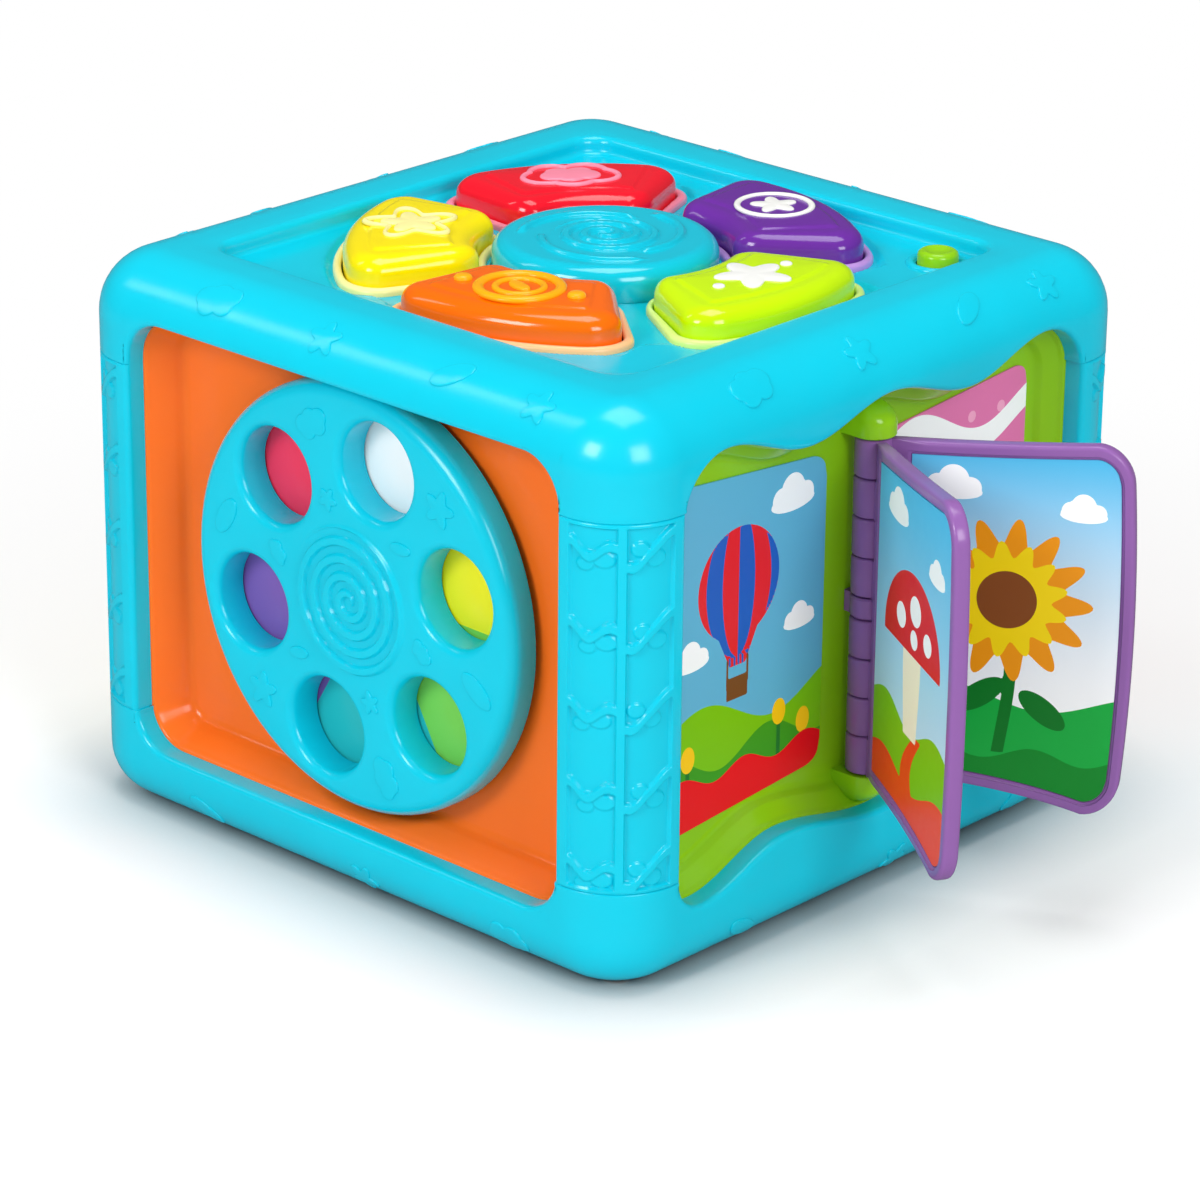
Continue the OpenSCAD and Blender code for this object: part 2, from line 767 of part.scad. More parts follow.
module dial_screw() color("silver") on_side(DIAL_SIDE) depth_frame(0, dial_z)
    translate([0, 0, shaft_end + washer_t]) mirror([0, 0, 1])
        screw(screw_r, shaft_end + washer_t - dial_front - 5, head_t);

// Book

module hinge_pin() color("silver") translate([hinge_x, 0, lug_low + pin_seat + run_gap])
    cylinder(h = lug_top - lug_low - 2 * pin_seat - 2 * run_gap, r = pin_r);

clip_low = spine_low + knuckle_count / 2 * knuckle_pitch + face_gap;

module spine_clip() color("#7a4d96") difference() {
    union() {
        translate([hinge_x, 0, clip_low]) cylinder(h = clip_h - face_gap, r = knuckle_r);
        translate([half_w - book_floor, -knuckle_r / 2, clip_low])
            cube([book_floor - hinge_inset, knuckle_r, clip_h - face_gap]);
    }
    translate([hinge_x, 0, clip_low - overcut]) cylinder(h = clip_h + 2 * overcut, r = pin_r + run_gap);
}

function page_low_edge(r) = page_low - page_flare_low * pow(r / page_reach, 2.5);
function page_top_edge(r) = page_top + page_flare_top * pow(r / page_reach, 1.5);

// Point of a page drawn in towards the free edge's ends, so that the edge bulges
function bulged(p) = [p[0] - page_bulge * pow(p[0] / page_reach, 4) * pow((p[1] - page_mid) / page_half, 2), p[1]];

// Outline of a page over distance from the hinge and height, drawn in by g, from distance r0
function page_outline(r0, g) =
    let (r1 = page_reach - g, c = max(1, page_corner_r - g), bend = r1 - c,
         low = page_low_edge(bend) + g, high = page_top_edge(bend) - g)
    [for (p = concat(
        [for (i = [0:page_steps]) let (r = r0 + (bend - r0) * i / page_steps) [r, page_low_edge(r) + g]],
        [for (p = arc(bend, low + c, c, -90, 0, arc_steps)) if (p[0] > bend + 0.01) p],
        [for (i = [1:page_steps - 1]) [r1, low + c + (high - low - 2 * c) * i / page_steps]],
        [for (p = arc(bend, high - c, c, 0, 90, arc_steps)) if (p[0] > bend + 0.01) p],
        [for (i = [page_steps:-1:0]) let (r = r0 + (bend - r0) * i / page_steps) [r, page_top_edge(r) - g]]
    )) bulged(p)];

module on_page(turn) {
    translate([hinge_x, 0, 0]) rotate([0, 0, turn]) children();
}

// Slab of a page outline between two offsets from the page's middle plane
module page_slab(y0, y1) {
    translate([0, y1, 0]) rotate([90, 0, 0]) linear_extrude(y1 - y0) children();
}

function knuckle_z(i) = spine_low + i * knuckle_pitch + (i >= knuckle_count / 2 ? clip_h + face_gap : 0);

// Page with every second knuckle, starting at the one that is given
module page(turn, first) color("#8a5ca6") on_page(turn) {
    difference() {
        union() {
            intersection() {
                page_slab(-page_t, page_t) polygon(page_outline(page_start, 0));
                translate([0, 0, page_low - 2 * page_flare_low])
                    linear_extrude(page_top - page_low + 4 * page_flare_low) polygon([
                        [page_start, -web_t / 2], [page_full, -page_t / 2], [page_reach, -page_t / 2],
                        [page_reach, page_t / 2], [page_full, page_t / 2], [page_start, web_t / 2]]);
            }
            for (i = [first:2:knuckle_count - 1]) translate([0, 0, knuckle_z(i) + face_gap / 2]) {
                cylinder(h = knuckle_pitch - face_gap, r = knuckle_r);
                translate([0, -web_t / 2, 0]) cube([page_start + 1, web_t, knuckle_pitch - face_gap]);
            }
        }
        translate([0, 0, spine_low - overcut])
            cylinder(h = spine_high - spine_low + 2 * overcut, r = pin_r + run_gap);
        for (s = [-1, 1])
            page_slab(min(s * (page_t / 2 - print_recess), s * page_t), max(s * (page_t / 2 - print_recess), s * page_t))
                polygon(page_outline(print_start, page_frame));
    }
}

// Print in a page's recess, on the side that is given
module page_print(turn, s) color("#8fd0f0") on_page(turn) {
    seat = s * (page_t / 2 - print_recess);
    page_slab(min(seat, seat + s * print_t), max(seat, seat + s * print_t))
        polygon(page_outline(print_start + print_gap, page_frame + print_gap));
}

// Point at a distance from p towards q
function towards(p, q, d) = p + d * (q - p) / norm(q - p);

// Outline whose corners turn on a curve from a distance d before each corner to d after it
function soft_corners(points, d, steps) =
    let (n = len(points))
    [for (i = [0:n - 1], k = [0:steps])
        let (p = points[i], a = towards(p, points[(i + n - 1) % n], d), b = towards(p, points[(i + 1) % n], d),
             t = k / steps)
        (1 - t) * (1 - t) * a + 2 * t * (1 - t) * p + t * t * b];

// Print on the book panel's floor, on the side that is given
module panel_print(s) color("#f0a0c8") on_side(BOOK_SIDE)
    face_slab(book_floor - print_t, book_floor) polygon(soft_corners([
        [s * panel_print_in, panel_print_low], [s * panel_print_out, panel_print_low - panel_print_flare],
        [s * panel_print_out, panel_print_high + panel_print_flare], [s * panel_print_in, panel_print_high]],
        panel_print_corner, arc_steps));

// Gears

function pitch_r(teeth) = gear_module * teeth / 2;
function beside(at, direction, teeth) =
    at + (pitch_r(teeth_large) + pitch_r(teeth)) * [cos(direction), sin(direction)];
function gear_places() = [for (at = [
    gear_large_at,
    beside(gear_large_at, medium_direction, teeth_medium),
    beside(gear_large_at, small_direction, teeth_small)]) [at[0], at[1] + open_mid]];

function involute(a) = tan(a) * 180 / PI - a;

// Half of a tooth's angle at radius r
function tooth_half(teeth, r) =
    let (rp = pitch_r(teeth), rb = rp * cos(pressure_angle))
    90 / teeth - backlash / 4 / rp * 180 / PI + involute(pressure_angle) - involute(acos(min(1, rb / r)));

function gear_points(teeth) =
    let (rp = pitch_r(teeth), tip = rp + addendum * gear_module, root = rp - dedendum * gear_module,
         start = max(root, rp * cos(pressure_angle)), steps = 4)
    [for (t = [0:teeth - 1], s = [-1, 1], k = [0:steps + 1])
        let (i = s < 0 ? k : steps + 1 - k,
             flank = start + (tip - start) * max(0, i - 1) / steps,
             r = i == 0 ? root : flank,
             a = 360 / teeth * t + s * tooth_half(teeth, flank))
        r * [cos(a), sin(a)]];

// Turn that sets a follower's gap on the large gear's tooth in a direction
function mesh_turn(direction, teeth) =
    let (passed = (direction - medium_direction) * teeth_large / 360, part = passed - floor(passed))
    direction + 180 + (0.5 + part) * 360 / teeth;

module gear(at, teeth, turn, tint) color(tint) on_side(GEAR_SIDE)
    translate([at[0], gear_front + gear_t - half_w, at[1]]) rotate([90, 0, 0]) difference() {
        linear_extrude(gear_t) rotate([0, 0, turn]) polygon(gear_points(teeth));
        translate([0, 0, -overcut]) cylinder(h = gear_t + 2 * overcut, r = gear_pin_r + run_gap);
        translate([0, 0, gear_t - gear_rim]) difference() {
            cylinder(h = gear_rim + overcut, r = pitch_r(teeth) - 2 * gear_module);
            translate([0, 0, -overcut]) cylinder(h = gear_rim + 3 * overcut, r = gear_boss_r);
        }
    }

module gear_pins() color("white") on_side(GEAR_SIDE) for (at = gear_places()) {
    face_rod(at[0], at[1], gear_front - face_gap, gear_pin_tail, gear_pin_r);
    face_rod(at[0], at[1], gear_front - face_gap - gear_head_t, gear_front - face_gap, gear_head_r);
}

// Rollers

module roller_rod() color("white") on_side(ROLLER_SIDE)
    translate([-rod_half + run_gap, rod_depth - half_w, open_mid]) rotate([0, 90, 0])
        cylinder(h = 2 * rod_half - 2 * run_gap, r = rod_r);

module roller(i, tint) color(tint) on_side(ROLLER_SIDE)
    translate([(i - 1) * roller_pitch - roller_len / 2, rod_depth - half_w, open_mid]) rotate([0, 90, 0])
        rotate_extrude() {
            translate([rod_r + run_gap, 0]) square([roller_hub - rod_r - run_gap, roller_len]);
            translate([roller_r - roller_wall, 0]) square([roller_wall, roller_len]);
            translate([rod_r + run_gap, (roller_len - roller_web) / 2]) square([roller_r - rod_r - 1, roller_web]);
        }

// Buttons

module fan_button(angle, tint) color(tint) rotate([0, 0, angle]) {
    wide = fan_outline(0, cap_flange, cap_flange);
    straight = fan_outline(0, 0, 0);
    rings = concat(
        [[for (p = wide) [p[0], p[1], cap_low]],
         [for (p = wide) [p[0], p[1], cap_low + cap_flange_t]],
         [for (p = straight) [p[0], p[1], cap_low + cap_flange_t]]],
        [for (k = [0:3]) let (inset = button_round * (1 - cos(30 * k)))
            [for (p = fan_outline(-inset, -inset, -inset))
                [p[0], p[1], button_top - button_round + button_round * sin(30 * k)]]]);
    difference() {
        loft(rings, [fan_mid_r, 0, cap_low], [fan_mid_r, 0, button_top]);
        translate([0, 0, cap_low - overcut]) linear_extrude(button_top - cap_wall - cap_low + overcut)
            polygon(fan_outline(-cap_wall, -cap_wall, -cap_wall));
    }
    translate([fan_mid_r, 0, dome_top]) cylinder(h = button_top - cap_wall / 2 - dome_top, r = plunger_r);
}

module bezel(angle, tint) color(tint) rotate([0, 0, angle]) translate([0, 0, tray_z])
    linear_extrude(bezel_h) difference() {
        polygon(fan_outline(min(bezel_w, fan_inner_r - centre_r - 2 * button_gap), bezel_w, bezel_w));
        polygon(fan_outline(button_gap, button_gap, button_gap));
    }

// Round button about Z, with a flange under the plate and a plunger down to its dome
module round_button(r, top, flange, edge) {
    rotate_extrude() {
        difference() {
            union() {
                translate([0, cap_low]) square([r + flange, cap_flange_t]);
                translate([0, cap_low]) square([r, top - edge - cap_low]);
                translate([0, cap_low]) square([r - edge, top - cap_low]);
                translate([r - edge, top - edge]) circle(edge);
            }
            translate([0, cap_low - overcut]) square([r - cap_wall, top - cap_wall - cap_low + overcut]);
        }
        translate([0, dome_top]) square([min(plunger_r, r - cap_wall), top - cap_wall / 2 - dome_top]);
    }
}

module centre_button() color("#10b8d4")
    round_button(centre_r, button_top, min(cap_flange, fan_inner_r - centre_r - 2 * button_gap), button_round);

module mode_button() color("#7fd21e") translate([mode_at, mode_at, 0])
    round_button(mode_r, tray_z + mode_rise, cap_flange, mode_r / 4);

// Electrics

// Middles of the places that are pressed
module at_domes() {
    for (a = fan_angles) rotate([0, 0, a]) translate([fan_mid_r, 0, 0]) children();
    children();
    translate([mode_at, mode_at, 0]) children();
}

module circuit_board() color("#2f7d46") difference() {
    translate([0, 0, board_low]) linear_extrude(board_t) rounded_square(board_w / 2, 4);
    for (i = [0:4]) rotate([0, 0, fan_gap_angle + 72 * i]) translate([standoff_at, 0, board_low - overcut])
        cylinder(h = board_t + 2 * overcut, r = small_screw_r + face_gap);
}

module switch_domes() color("#e8e8e0") at_domes() translate([0, 0, board_top])
    cylinder(h = dome_h, r1 = dome_r, r2 = plunger_r);

module speaker() color("#303030") translate([speaker_x, 0, wall + speaker_seat - 1]) rotate_extrude() {
    square([speaker_r, 2]);
    square([speaker_r * 0.8, 7]);
    square([speaker_r * 0.5, 15]);
}

function door_l() = box_inner_l + 2 * door_lap;
function door_w() = box_inner_w + 2 * door_lap;

module battery_box() color("#303030") translate([box_x, 0, wall]) difference() {
    union() {
        translate([0, 0, box_wall / 2]) cube([door_l() + box_flange, door_w() + box_flange, box_wall], center = true);
        translate([0, 0, (box_inner_h + box_wall) / 2])
            cube([box_inner_l + 2 * box_wall, box_inner_w + 2 * box_wall, box_inner_h + box_wall], center = true);
        translate([box_inner_l / 2 + box_wall, 0, 0]) cylinder(h = 9, r = boss_r);
    }
    translate([0, 0, box_inner_h / 2 - overcut / 2])
        cube([box_inner_l, box_inner_w, box_inner_h + overcut], center = true);
    translate([door_screw_x(), 0, -overcut]) cylinder(h = 8, r = small_screw_r + run_gap);
}

function door_screw_x() = box_inner_l / 2 + door_lap - 2 * small_screw_r;

module battery_door() color("#12c4e0") translate([box_x, 0, wall - door_t]) difference() {
    linear_extrude(door_t) square([door_l(), door_w()], center = true);
    translate([door_screw_x(), 0, -overcut]) {
        cylinder(h = door_t + 2 * overcut, r = small_screw_r + face_gap);
        cylinder(h = small_head_t + overcut, r = small_screw_r * head_ratio + face_gap);
    }
}

module door_screw() color("silver") translate([box_x + door_screw_x(), 0, wall - door_t + small_head_t])
    screw(small_screw_r, 6, small_head_t);

module at_cells() {
    for (i = [0:cell_count - 1])
        translate([box_x, (i - (cell_count - 1) / 2) * cell_pitch, wall + box_inner_h - cell_d / 2]) children();
}

module batteries() color("#b0b4b8") at_cells() rotate([0, 90, 0])
    cylinder(h = cell_len, r = cell_d / 2, center = true);

module battery_contacts() color("silver") at_cells() for (s = [-1, 1]) {
    translate([s * (box_inner_l - contact_t) / 2, 0, 0])
        cube([contact_t, cell_d * 0.7, cell_d * 0.7], center = true);
    translate([s * (box_inner_l / 2 - (box_inner_l - cell_len) / 4), 0, 0]) rotate([0, 90, 0])
        cylinder(h = (box_inner_l - cell_len) / 2, r = cell_d * 0.2, center = true);
}

// Fasteners

module shell_screws() color("silver") at_corners() {
    translate([screw_at, screw_at, counterbore_z]) screw(screw_r, shell_screw_len, head_t);
    translate([screw_at, screw_at, seam_high - post_boss_high]) screw(screw_r, shell_screw_len, head_t);
}

module board_screws() color("silver") for (i = [0:4]) rotate([0, 0, fan_gap_angle + 72 * i])
    translate([standoff_at, 0, board_low]) screw(small_screw_r, board_t + 6, small_head_t);

module panel_screws() color("silver") for (side = [0:3]) on_side(side) at_panel_screws()
    translate([0, lip_depth + flange_t - half_w, 0]) rotate([90, 0, 0])
        screw(small_screw_r, flange_t + lip_depth - panel_boss_depth - 0.6, small_head_t);

// Leads inside the cube, each swept along points chosen by hand
lead_r = 1.2;
lead_sides = 8;
battery_lead_points = [
    [-24, 8, board_low], [-24, 8, board_low - 6], [-22, 9, 112], [-16, 12, 92], [-10, 14, 72],
    [-12, 13, 52], [-20, 9, 38], [-28, 4, 30], [-30, 3, wall + box_inner_h + box_wall + 4],
    [-30, 3, wall + box_inner_h + box_wall]];
speaker_top = wall + speaker_seat + 14;
speaker_lead_points = [
    [24, -8, board_low], [24, -8, board_low - 6], [22, -10, 112], [16, -14, 92], [14, -16, 72],
    [20, -14, 52], [32, -8, 38], [40, -3, 30], [42, -2, speaker_top + 4], [42, -2, speaker_top]];

function unit(v) = v / norm(v);

// Round section at a point of a lead, square to the way that it runs
function lead_ring(points, i) =
    let (last = len(points) - 1,
         way = unit(points[min(last, i + 1)] - points[max(0, i - 1)]),
         side = unit(cross(way, [0, 1, 0])),
         up = cross(side, way))
    [for (k = [0:lead_sides - 1])
        points[i] + lead_r * (cos(360 * k / lead_sides) * side - sin(360 * k / lead_sides) * up)];

module lead(points) {
    loft([for (i = [len(points) - 1:-1:0]) lead_ring(points, i)], points[len(points) - 1], points[0]);
}

module battery_lead() color("red") lead(battery_lead_points);

module speaker_lead() color("black") lead(speaker_lead_points);

base_shell();
top_shell();
corner_post(3);  // corner_post_front
corner_post(0);  // corner_post_right
corner_post(1);  // corner_post_rear
corner_post(2);  // corner_post_left
dial_panel();
colour_disc();
dial();
dial_washer();
dial_screw();
book_panel();
hinge_pin();
spine_clip();
page(page_left_turn, 0);  // page_left
page(page_right_turn, 1);  // page_right
page_print(page_left_turn, 1);  // page_left_inner_print
page_print(page_left_turn, -1);  // page_left_outer_print
page_print(page_right_turn, -1);  // page_right_inner_print
page_print(page_right_turn, 1);  // page_right_outer_print
panel_print(-1);  // panel_print_left
panel_print(1);  // panel_print_right
gear_panel();
gear_pins();
gear(gear_places()[0], teeth_large, medium_direction, "#e8323c");  // gear_large
gear(gear_places()[1], teeth_medium, mesh_turn(medium_direction, teeth_medium), "#7a3fa8");  // gear_medium
gear(gear_places()[2], teeth_small, mesh_turn(small_direction, teeth_small), "#7fd21e");  // gear_small
roller_panel();
roller_rod();
roller(0, "#ffd21a");  // roller_1
roller(1, "#7fd21e");  // roller_2
roller(2, "#7a3fa8");  // roller_3
fan_button(fan_angles[0], "#ff7a00");  // button_orange
fan_button(fan_angles[1], "#c0ea10");  // button_green
fan_button(fan_angles[2], "#6a2c9c");  // button_purple
fan_button(fan_angles[3], "#f0142a");  // button_red
fan_button(fan_angles[4], "#ffe600");  // button_yellow
bezel(fan_angles[0], "#ffb08a");  // bezel_orange
bezel(fan_angles[1], "#b8e060");  // bezel_green
bezel(fan_angles[2], "#b49ad8");  // bezel_purple
bezel(fan_angles[3], "#f0a0b4");  // bezel_red
bezel(fan_angles[4], "#f0e070");  // bezel_yellow
centre_button();
mode_button();
circuit_board();
switch_domes();
speaker();
battery_box();
battery_door();
batteries();
battery_contacts();
shell_screws();
board_screws();
panel_screws();
door_screw();
battery_lead();
speaker_lead();
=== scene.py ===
"""Finished look of an activity cube on its CAD frame: shells, posts, dial, book, buttons, gears and rollers.

Shapes are worked out in millimetres and become metres when a mesh is made. A side piece is worked out on the
dial side, as u along the face, p behind the face and z up, and is turned about Z to its own side.
"""
import math

import bmesh
import bpy
import numpy as np
from mathutils import Matrix, Vector
from mathutils.geometry import delaunay_2d_cdt


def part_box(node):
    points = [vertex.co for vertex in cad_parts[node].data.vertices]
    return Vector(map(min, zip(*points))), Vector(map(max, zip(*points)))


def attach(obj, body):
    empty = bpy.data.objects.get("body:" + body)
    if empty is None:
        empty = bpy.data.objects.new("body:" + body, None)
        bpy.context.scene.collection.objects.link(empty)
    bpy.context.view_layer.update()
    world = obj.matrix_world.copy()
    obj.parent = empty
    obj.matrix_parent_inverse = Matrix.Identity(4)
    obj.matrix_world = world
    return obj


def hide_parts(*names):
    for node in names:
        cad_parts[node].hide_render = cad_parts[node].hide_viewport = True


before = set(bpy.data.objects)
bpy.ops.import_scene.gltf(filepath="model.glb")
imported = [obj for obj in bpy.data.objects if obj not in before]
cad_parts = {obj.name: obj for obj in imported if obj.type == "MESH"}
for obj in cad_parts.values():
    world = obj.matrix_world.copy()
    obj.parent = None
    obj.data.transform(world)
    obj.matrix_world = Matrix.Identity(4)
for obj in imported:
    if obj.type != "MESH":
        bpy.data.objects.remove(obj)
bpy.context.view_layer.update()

bl_info = {
    "name": "Activity cube",
    "version": (1, 0, 0),
    "blender": (4, 5, 0),
    "location": "3D View > Sidebar > Activity cube",
    "description": "Builds the finished surfaces of a moulded activity cube on its CAD frame",
    "category": "Object",
}

MM = 0.001
DIAL_SIDE, BOOK_SIDE, ROLLER_SIDE, GEAR_SIDE = 0, 1, 2, 3


def span(node):
    """Lowest and highest corner of a CAD node, in millimetres."""
    low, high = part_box(node)
    return np.array(low) / MM, np.array(high) / MM


# Sizes read from the frame
BASE_HIGH = span("base_shell")[1]
TOP_LOW, TOP_HIGH = span("top_shell")
HALF_W = BASE_HIGH[0]
HEIGHT = TOP_HIGH[2]
SEAM_LOW = BASE_HIGH[2]
SEAM_HIGH = TOP_LOW[2]
TRAY_Z = span("bezel_green")[0][2]
BUTTON_TOP = span("button_green")[1][2]
DOME_ROOM = 0.1
CAP_LOW = span("button_green")[0][2] + DOME_ROOM
DIAL_LOW, DIAL_HIGH = span("dial")
DIAL_R = (DIAL_HIGH[0] - DIAL_LOW[0]) / 2
DIAL_Z = (DIAL_HIGH[2] + DIAL_LOW[2]) / 2
DIAL_FRONT = DIAL_LOW[1] + HALF_W
DIAL_T = 9.5
DIAL_BACK = DIAL_FRONT + DIAL_T
DISC_FRONT = span("colour_disc")[0][1] + HALF_W
DISC_BACK = span("colour_disc")[1][1] + HALF_W
DISC_R = span("colour_disc")[1][0]
CAP_FLANGE = 2.0
CENTRE_R = span("centre_button")[1][0] - CAP_FLANGE
MODE_LOW, MODE_HIGH = span("mode_button")
MODE_AT = (MODE_LOW[0] + MODE_HIGH[0]) / 2

# Sizes of the moulding that the frame's boxes don't give
CORNER_R = 20.0
CORE = HALF_W - CORNER_R
TOP_EDGE_R = 17.0
BASE_EDGE_R = 14.0
WALL = 2.5
WELL_IN = 14.5
WELL_R = 3.45
ORNAMENT_RISE = 0.4
OPEN_HALF = HALF_W - 22.5
OPEN_LOW = 18.5
OPEN_HIGH = HEIGHT - 14.5
OPEN_MID = (OPEN_LOW + OPEN_HIGH) / 2
OPEN_R = 12.0
LIP = 6.0
FLOOR = 16.0
BOOK_FLOOR = 13.0
SLOPE = 6.0
PANEL_T = 2.4
TRAY_HALF = HALF_W - 27.0
TRAY_R = 8.0
TRAY_EDGE_R = 2.2
TRAY_FOOT_R = 1.6
TRAY_STEP = 1.2
WAVE_TOP = np.array([[0, 1.5], [31, 8], [62, 0.5]])
WAVE_LOW = np.array([[0, 5], [36, 10], [69, 1]])
FAN_OUT = TRAY_HALF - 4.0
FAN_IN = FAN_OUT - 35.0
FAN_MID = (FAN_IN + FAN_OUT) / 2
FAN_HALF_ANGLE = 29.0
FAN_R = 8.0
CAP_GAP = 0.4
CAP_PAD = 0.9
MODE_R = 5.5
FAN_TURNS = {"orange": -72.0, "green": 0.0, "purple": 72.0, "red": 144.0, "yellow": 216.0}
FINGER_COUNT = 6
FINGER_R = 13.0
FINGER_PITCH_R = 38.5
FINGER_TURN = 16.0
HINGE_X = HALF_W - 6.5
SPINE_LOW, SPINE_HIGH = OPEN_LOW + 14.5, OPEN_HIGH - 14.2
LUG_R = 5.75
LUG_LOW, LUG_TOP = SPINE_LOW - 9.0, SPINE_HIGH + 9.1
CLIP_ROOM = 6.3
KNUCKLE_PITCH = (SPINE_HIGH - SPINE_LOW - CLIP_ROOM) / 8
KNUCKLE_R = 5.0
PAGE_START = KNUCKLE_R + 0.8
PAGE_FULL = 13.0
PLATE_START = 10.0
PAGE_REACH = OPEN_HALF - 9.0
PAGE_TURN = {"left": -31.0, "right": 28.0}
PAGE_HALF_T = 2.2
PAGE_FRAME = 3.5
PAGE_R = 10.0
PAGE_BULGE = 2.0
PAGE_FLARE_LOW = 8.5
PAGE_FLARE_TOP = 4.5
PAGE_MID = (SPINE_LOW + SPINE_HIGH) / 2 + 0.1
PAGE_HALF = (SPINE_HIGH - SPINE_LOW) / 2 - 0.4
WEB_HALF_T = 1.2
PLATE_HALF_T = 1.1
PRINT_T = 0.4
PRINT_GAP = 0.2
PANEL_PRINT_LOW, PANEL_PRINT_HIGH = OPEN_LOW + 19.0, OPEN_HIGH - 18.0
PANEL_PRINT_FLARE = 5.0
PANEL_PRINT_CORNER = 6.0
GEAR_MODULE = 3.5
GEAR_PIN_R = 4.0
ROLLER_R = 16.0
ROD_DEPTH = 17.5


# Points and outlines

def smooth(t):
    """Smooth step: 0 below 0, 1 above 1, and 3 t^2 - 2 t^3 between."""
    t = np.clip(t, 0.0, 1.0)
    return t * t * (3.0 - 2.0 * t)


def arc(cx, cy, r, start, end, count):
    """Points at radius r round (cx, cy), from one angle to another in degrees."""
    angle = np.radians(np.linspace(start, end, count))
    return np.stack([cx + r * np.cos(angle), cy + r * np.sin(angle)], -1)


def circle(cx, cy, r, count):
    """Points all round a circle, with none repeated."""
    return arc(cx, cy, r, 0, 360, count + 1)[:-1]


def between(a, b, count):
    """Evenly spaced points on a straight line, without its two ends."""
    t = np.linspace(0.0, 1.0, count + 2)[1:-1, None]
    return (1.0 - t) * np.array(a, float) + t * np.array(b, float)


def rounded_box(x0, x1, y0, y1, r, nx=60, ny=50, na=12):
    """Rectangle with quarter-circle corners, counter-clockwise from the start of its lower edge."""
    return np.concatenate([
        between((x0 + r, y0), (x1 - r, y0), nx), arc(x1 - r, y0 + r, r, -90, 0, na),
        between((x1, y0 + r), (x1, y1 - r), ny), arc(x1 - r, y1 - r, r, 0, 90, na),
        between((x1 - r, y1), (x0 + r, y1), nx), arc(x0 + r, y1 - r, r, 90, 180, na),
        between((x0, y1 - r), (x0, y0 + r), ny), arc(x0 + r, y0 + r, r, 180, 270, na)])


def wave(knots, u):
    """Height over |u| that swings between knots of (distance, height) on half cosines."""
    u = np.minimum(np.abs(u), knots[-1, 0])
    i = np.clip(np.searchsorted(knots[:, 0], u, side="right") - 1, 0, len(knots) - 2)
    t = (u - knots[i, 0]) / (knots[i + 1, 0] - knots[i, 0])
    return knots[i, 1] + (knots[i + 1, 1] - knots[i, 1]) * (1.0 - np.cos(np.pi * t)) / 2.0


def opening_outline(side, g):
    """Outline of a side opening grown by g.

    It is a rounded box. On the book side its top and bottom are wavy.
    """
    if side != BOOK_SIDE:
        return rounded_box(-OPEN_HALF - g, OPEN_HALF + g, OPEN_LOW - g, OPEN_HIGH + g, OPEN_R + g)
    top_end, low_end = WAVE_TOP[-1, 0], WAVE_LOW[-1, 0]
    top_z, low_z = OPEN_HIGH - WAVE_TOP[-1, 1], OPEN_LOW + WAVE_LOW[-1, 1]
    top_r, low_r = OPEN_HALF - top_end, OPEN_HALF - low_end
    u_low = np.linspace(-low_end, low_end, 122)[1:-1]
    u_top = np.linspace(top_end, -top_end, 122)[1:-1]
    return np.concatenate([
        np.stack([u_low, OPEN_LOW + wave(WAVE_LOW, u_low) - g], -1),
        arc(low_end, low_z + low_r, low_r + g, -90, 0, 12),
        between((OPEN_HALF + g, low_z + low_r), (OPEN_HALF + g, top_z - top_r), 50),
        arc(top_end, top_z - top_r, top_r + g, 0, 90, 12),
        np.stack([u_top, OPEN_HIGH - wave(WAVE_TOP, u_top) + g], -1),
        arc(-top_end, top_z - top_r, top_r + g, 90, 180, 12),
        between((-OPEN_HALF - g, top_z - top_r), (-OPEN_HALF - g, low_z + low_r), 50),
        arc(-low_end, low_z + low_r, low_r + g, 180, 270, 12)])


def resample(points, count):
    """The same number of points at even distances along an open line."""
    step = np.linalg.norm(np.diff(points, axis=0), axis=1)
    run = np.concatenate([[0.0], np.cumsum(step)])
    at = np.linspace(0.0, run[-1], count)
    return np.stack([np.interp(at, run, points[:, k]) for k in range(points.shape[1])], -1)


def turn(points, degrees):
    """Points turned about Z."""
    c, s = math.cos(math.radians(degrees)), math.sin(math.radians(degrees))
    x, y, z = points[..., 0], points[..., 1], points[..., 2]
    return np.stack([c * x - s * y, s * x + c * y, z], -1)


def on_side(u, p, z, side):
    """Points from along the face, depth behind it and height, turned to a side of the cube."""
    u, p, z = np.broadcast_arrays(np.asarray(u, float), np.asarray(p, float), np.asarray(z, float))
    return turn(np.stack([u, p - HALF_W, z], -1), 90.0 * side)


# Surfaces: points with groups of faces

# Welding distance in millimetres, and the angle in degrees from which an edge stays sharp
WELD = 0.004
SHARP = 38.0


def loft(rings, start=None, end=None, closed=True):
    """Faces between rows of points.

    Each row may close on itself, and the first and the last row may close on a middle point.
    """
    rings = np.asarray(rings, float)
    m, n = rings.shape[:2]
    points = rings.reshape(-1, 3)
    row, col = np.meshgrid(np.arange(m - 1), np.arange(n if closed else n - 1), indexing="ij")
    after = (col + 1) % n
    here, ahead = row * n, (row + 1) * n
    groups = [np.stack([here + col, here + after, ahead + after, ahead + col], -1).reshape(-1, 4)]
    loop = np.arange(n)
    if start is not None:
        points = np.vstack([points, start])
        groups.append(np.stack([np.roll(loop, -1), loop, np.full(n, len(points) - 1)], -1))
    if end is not None:
        points = np.vstack([points, end])
        last = (m - 1) * n
        groups.append(np.stack([last + loop, last + np.roll(loop, -1), np.full(n, len(points) - 1)], -1))
    return points, groups


def tube(rings):
    """A loft whose last row joins its first, as round a ring."""
    rings = np.asarray(rings, float)
    return loft(np.concatenate([rings, rings[:1]]))


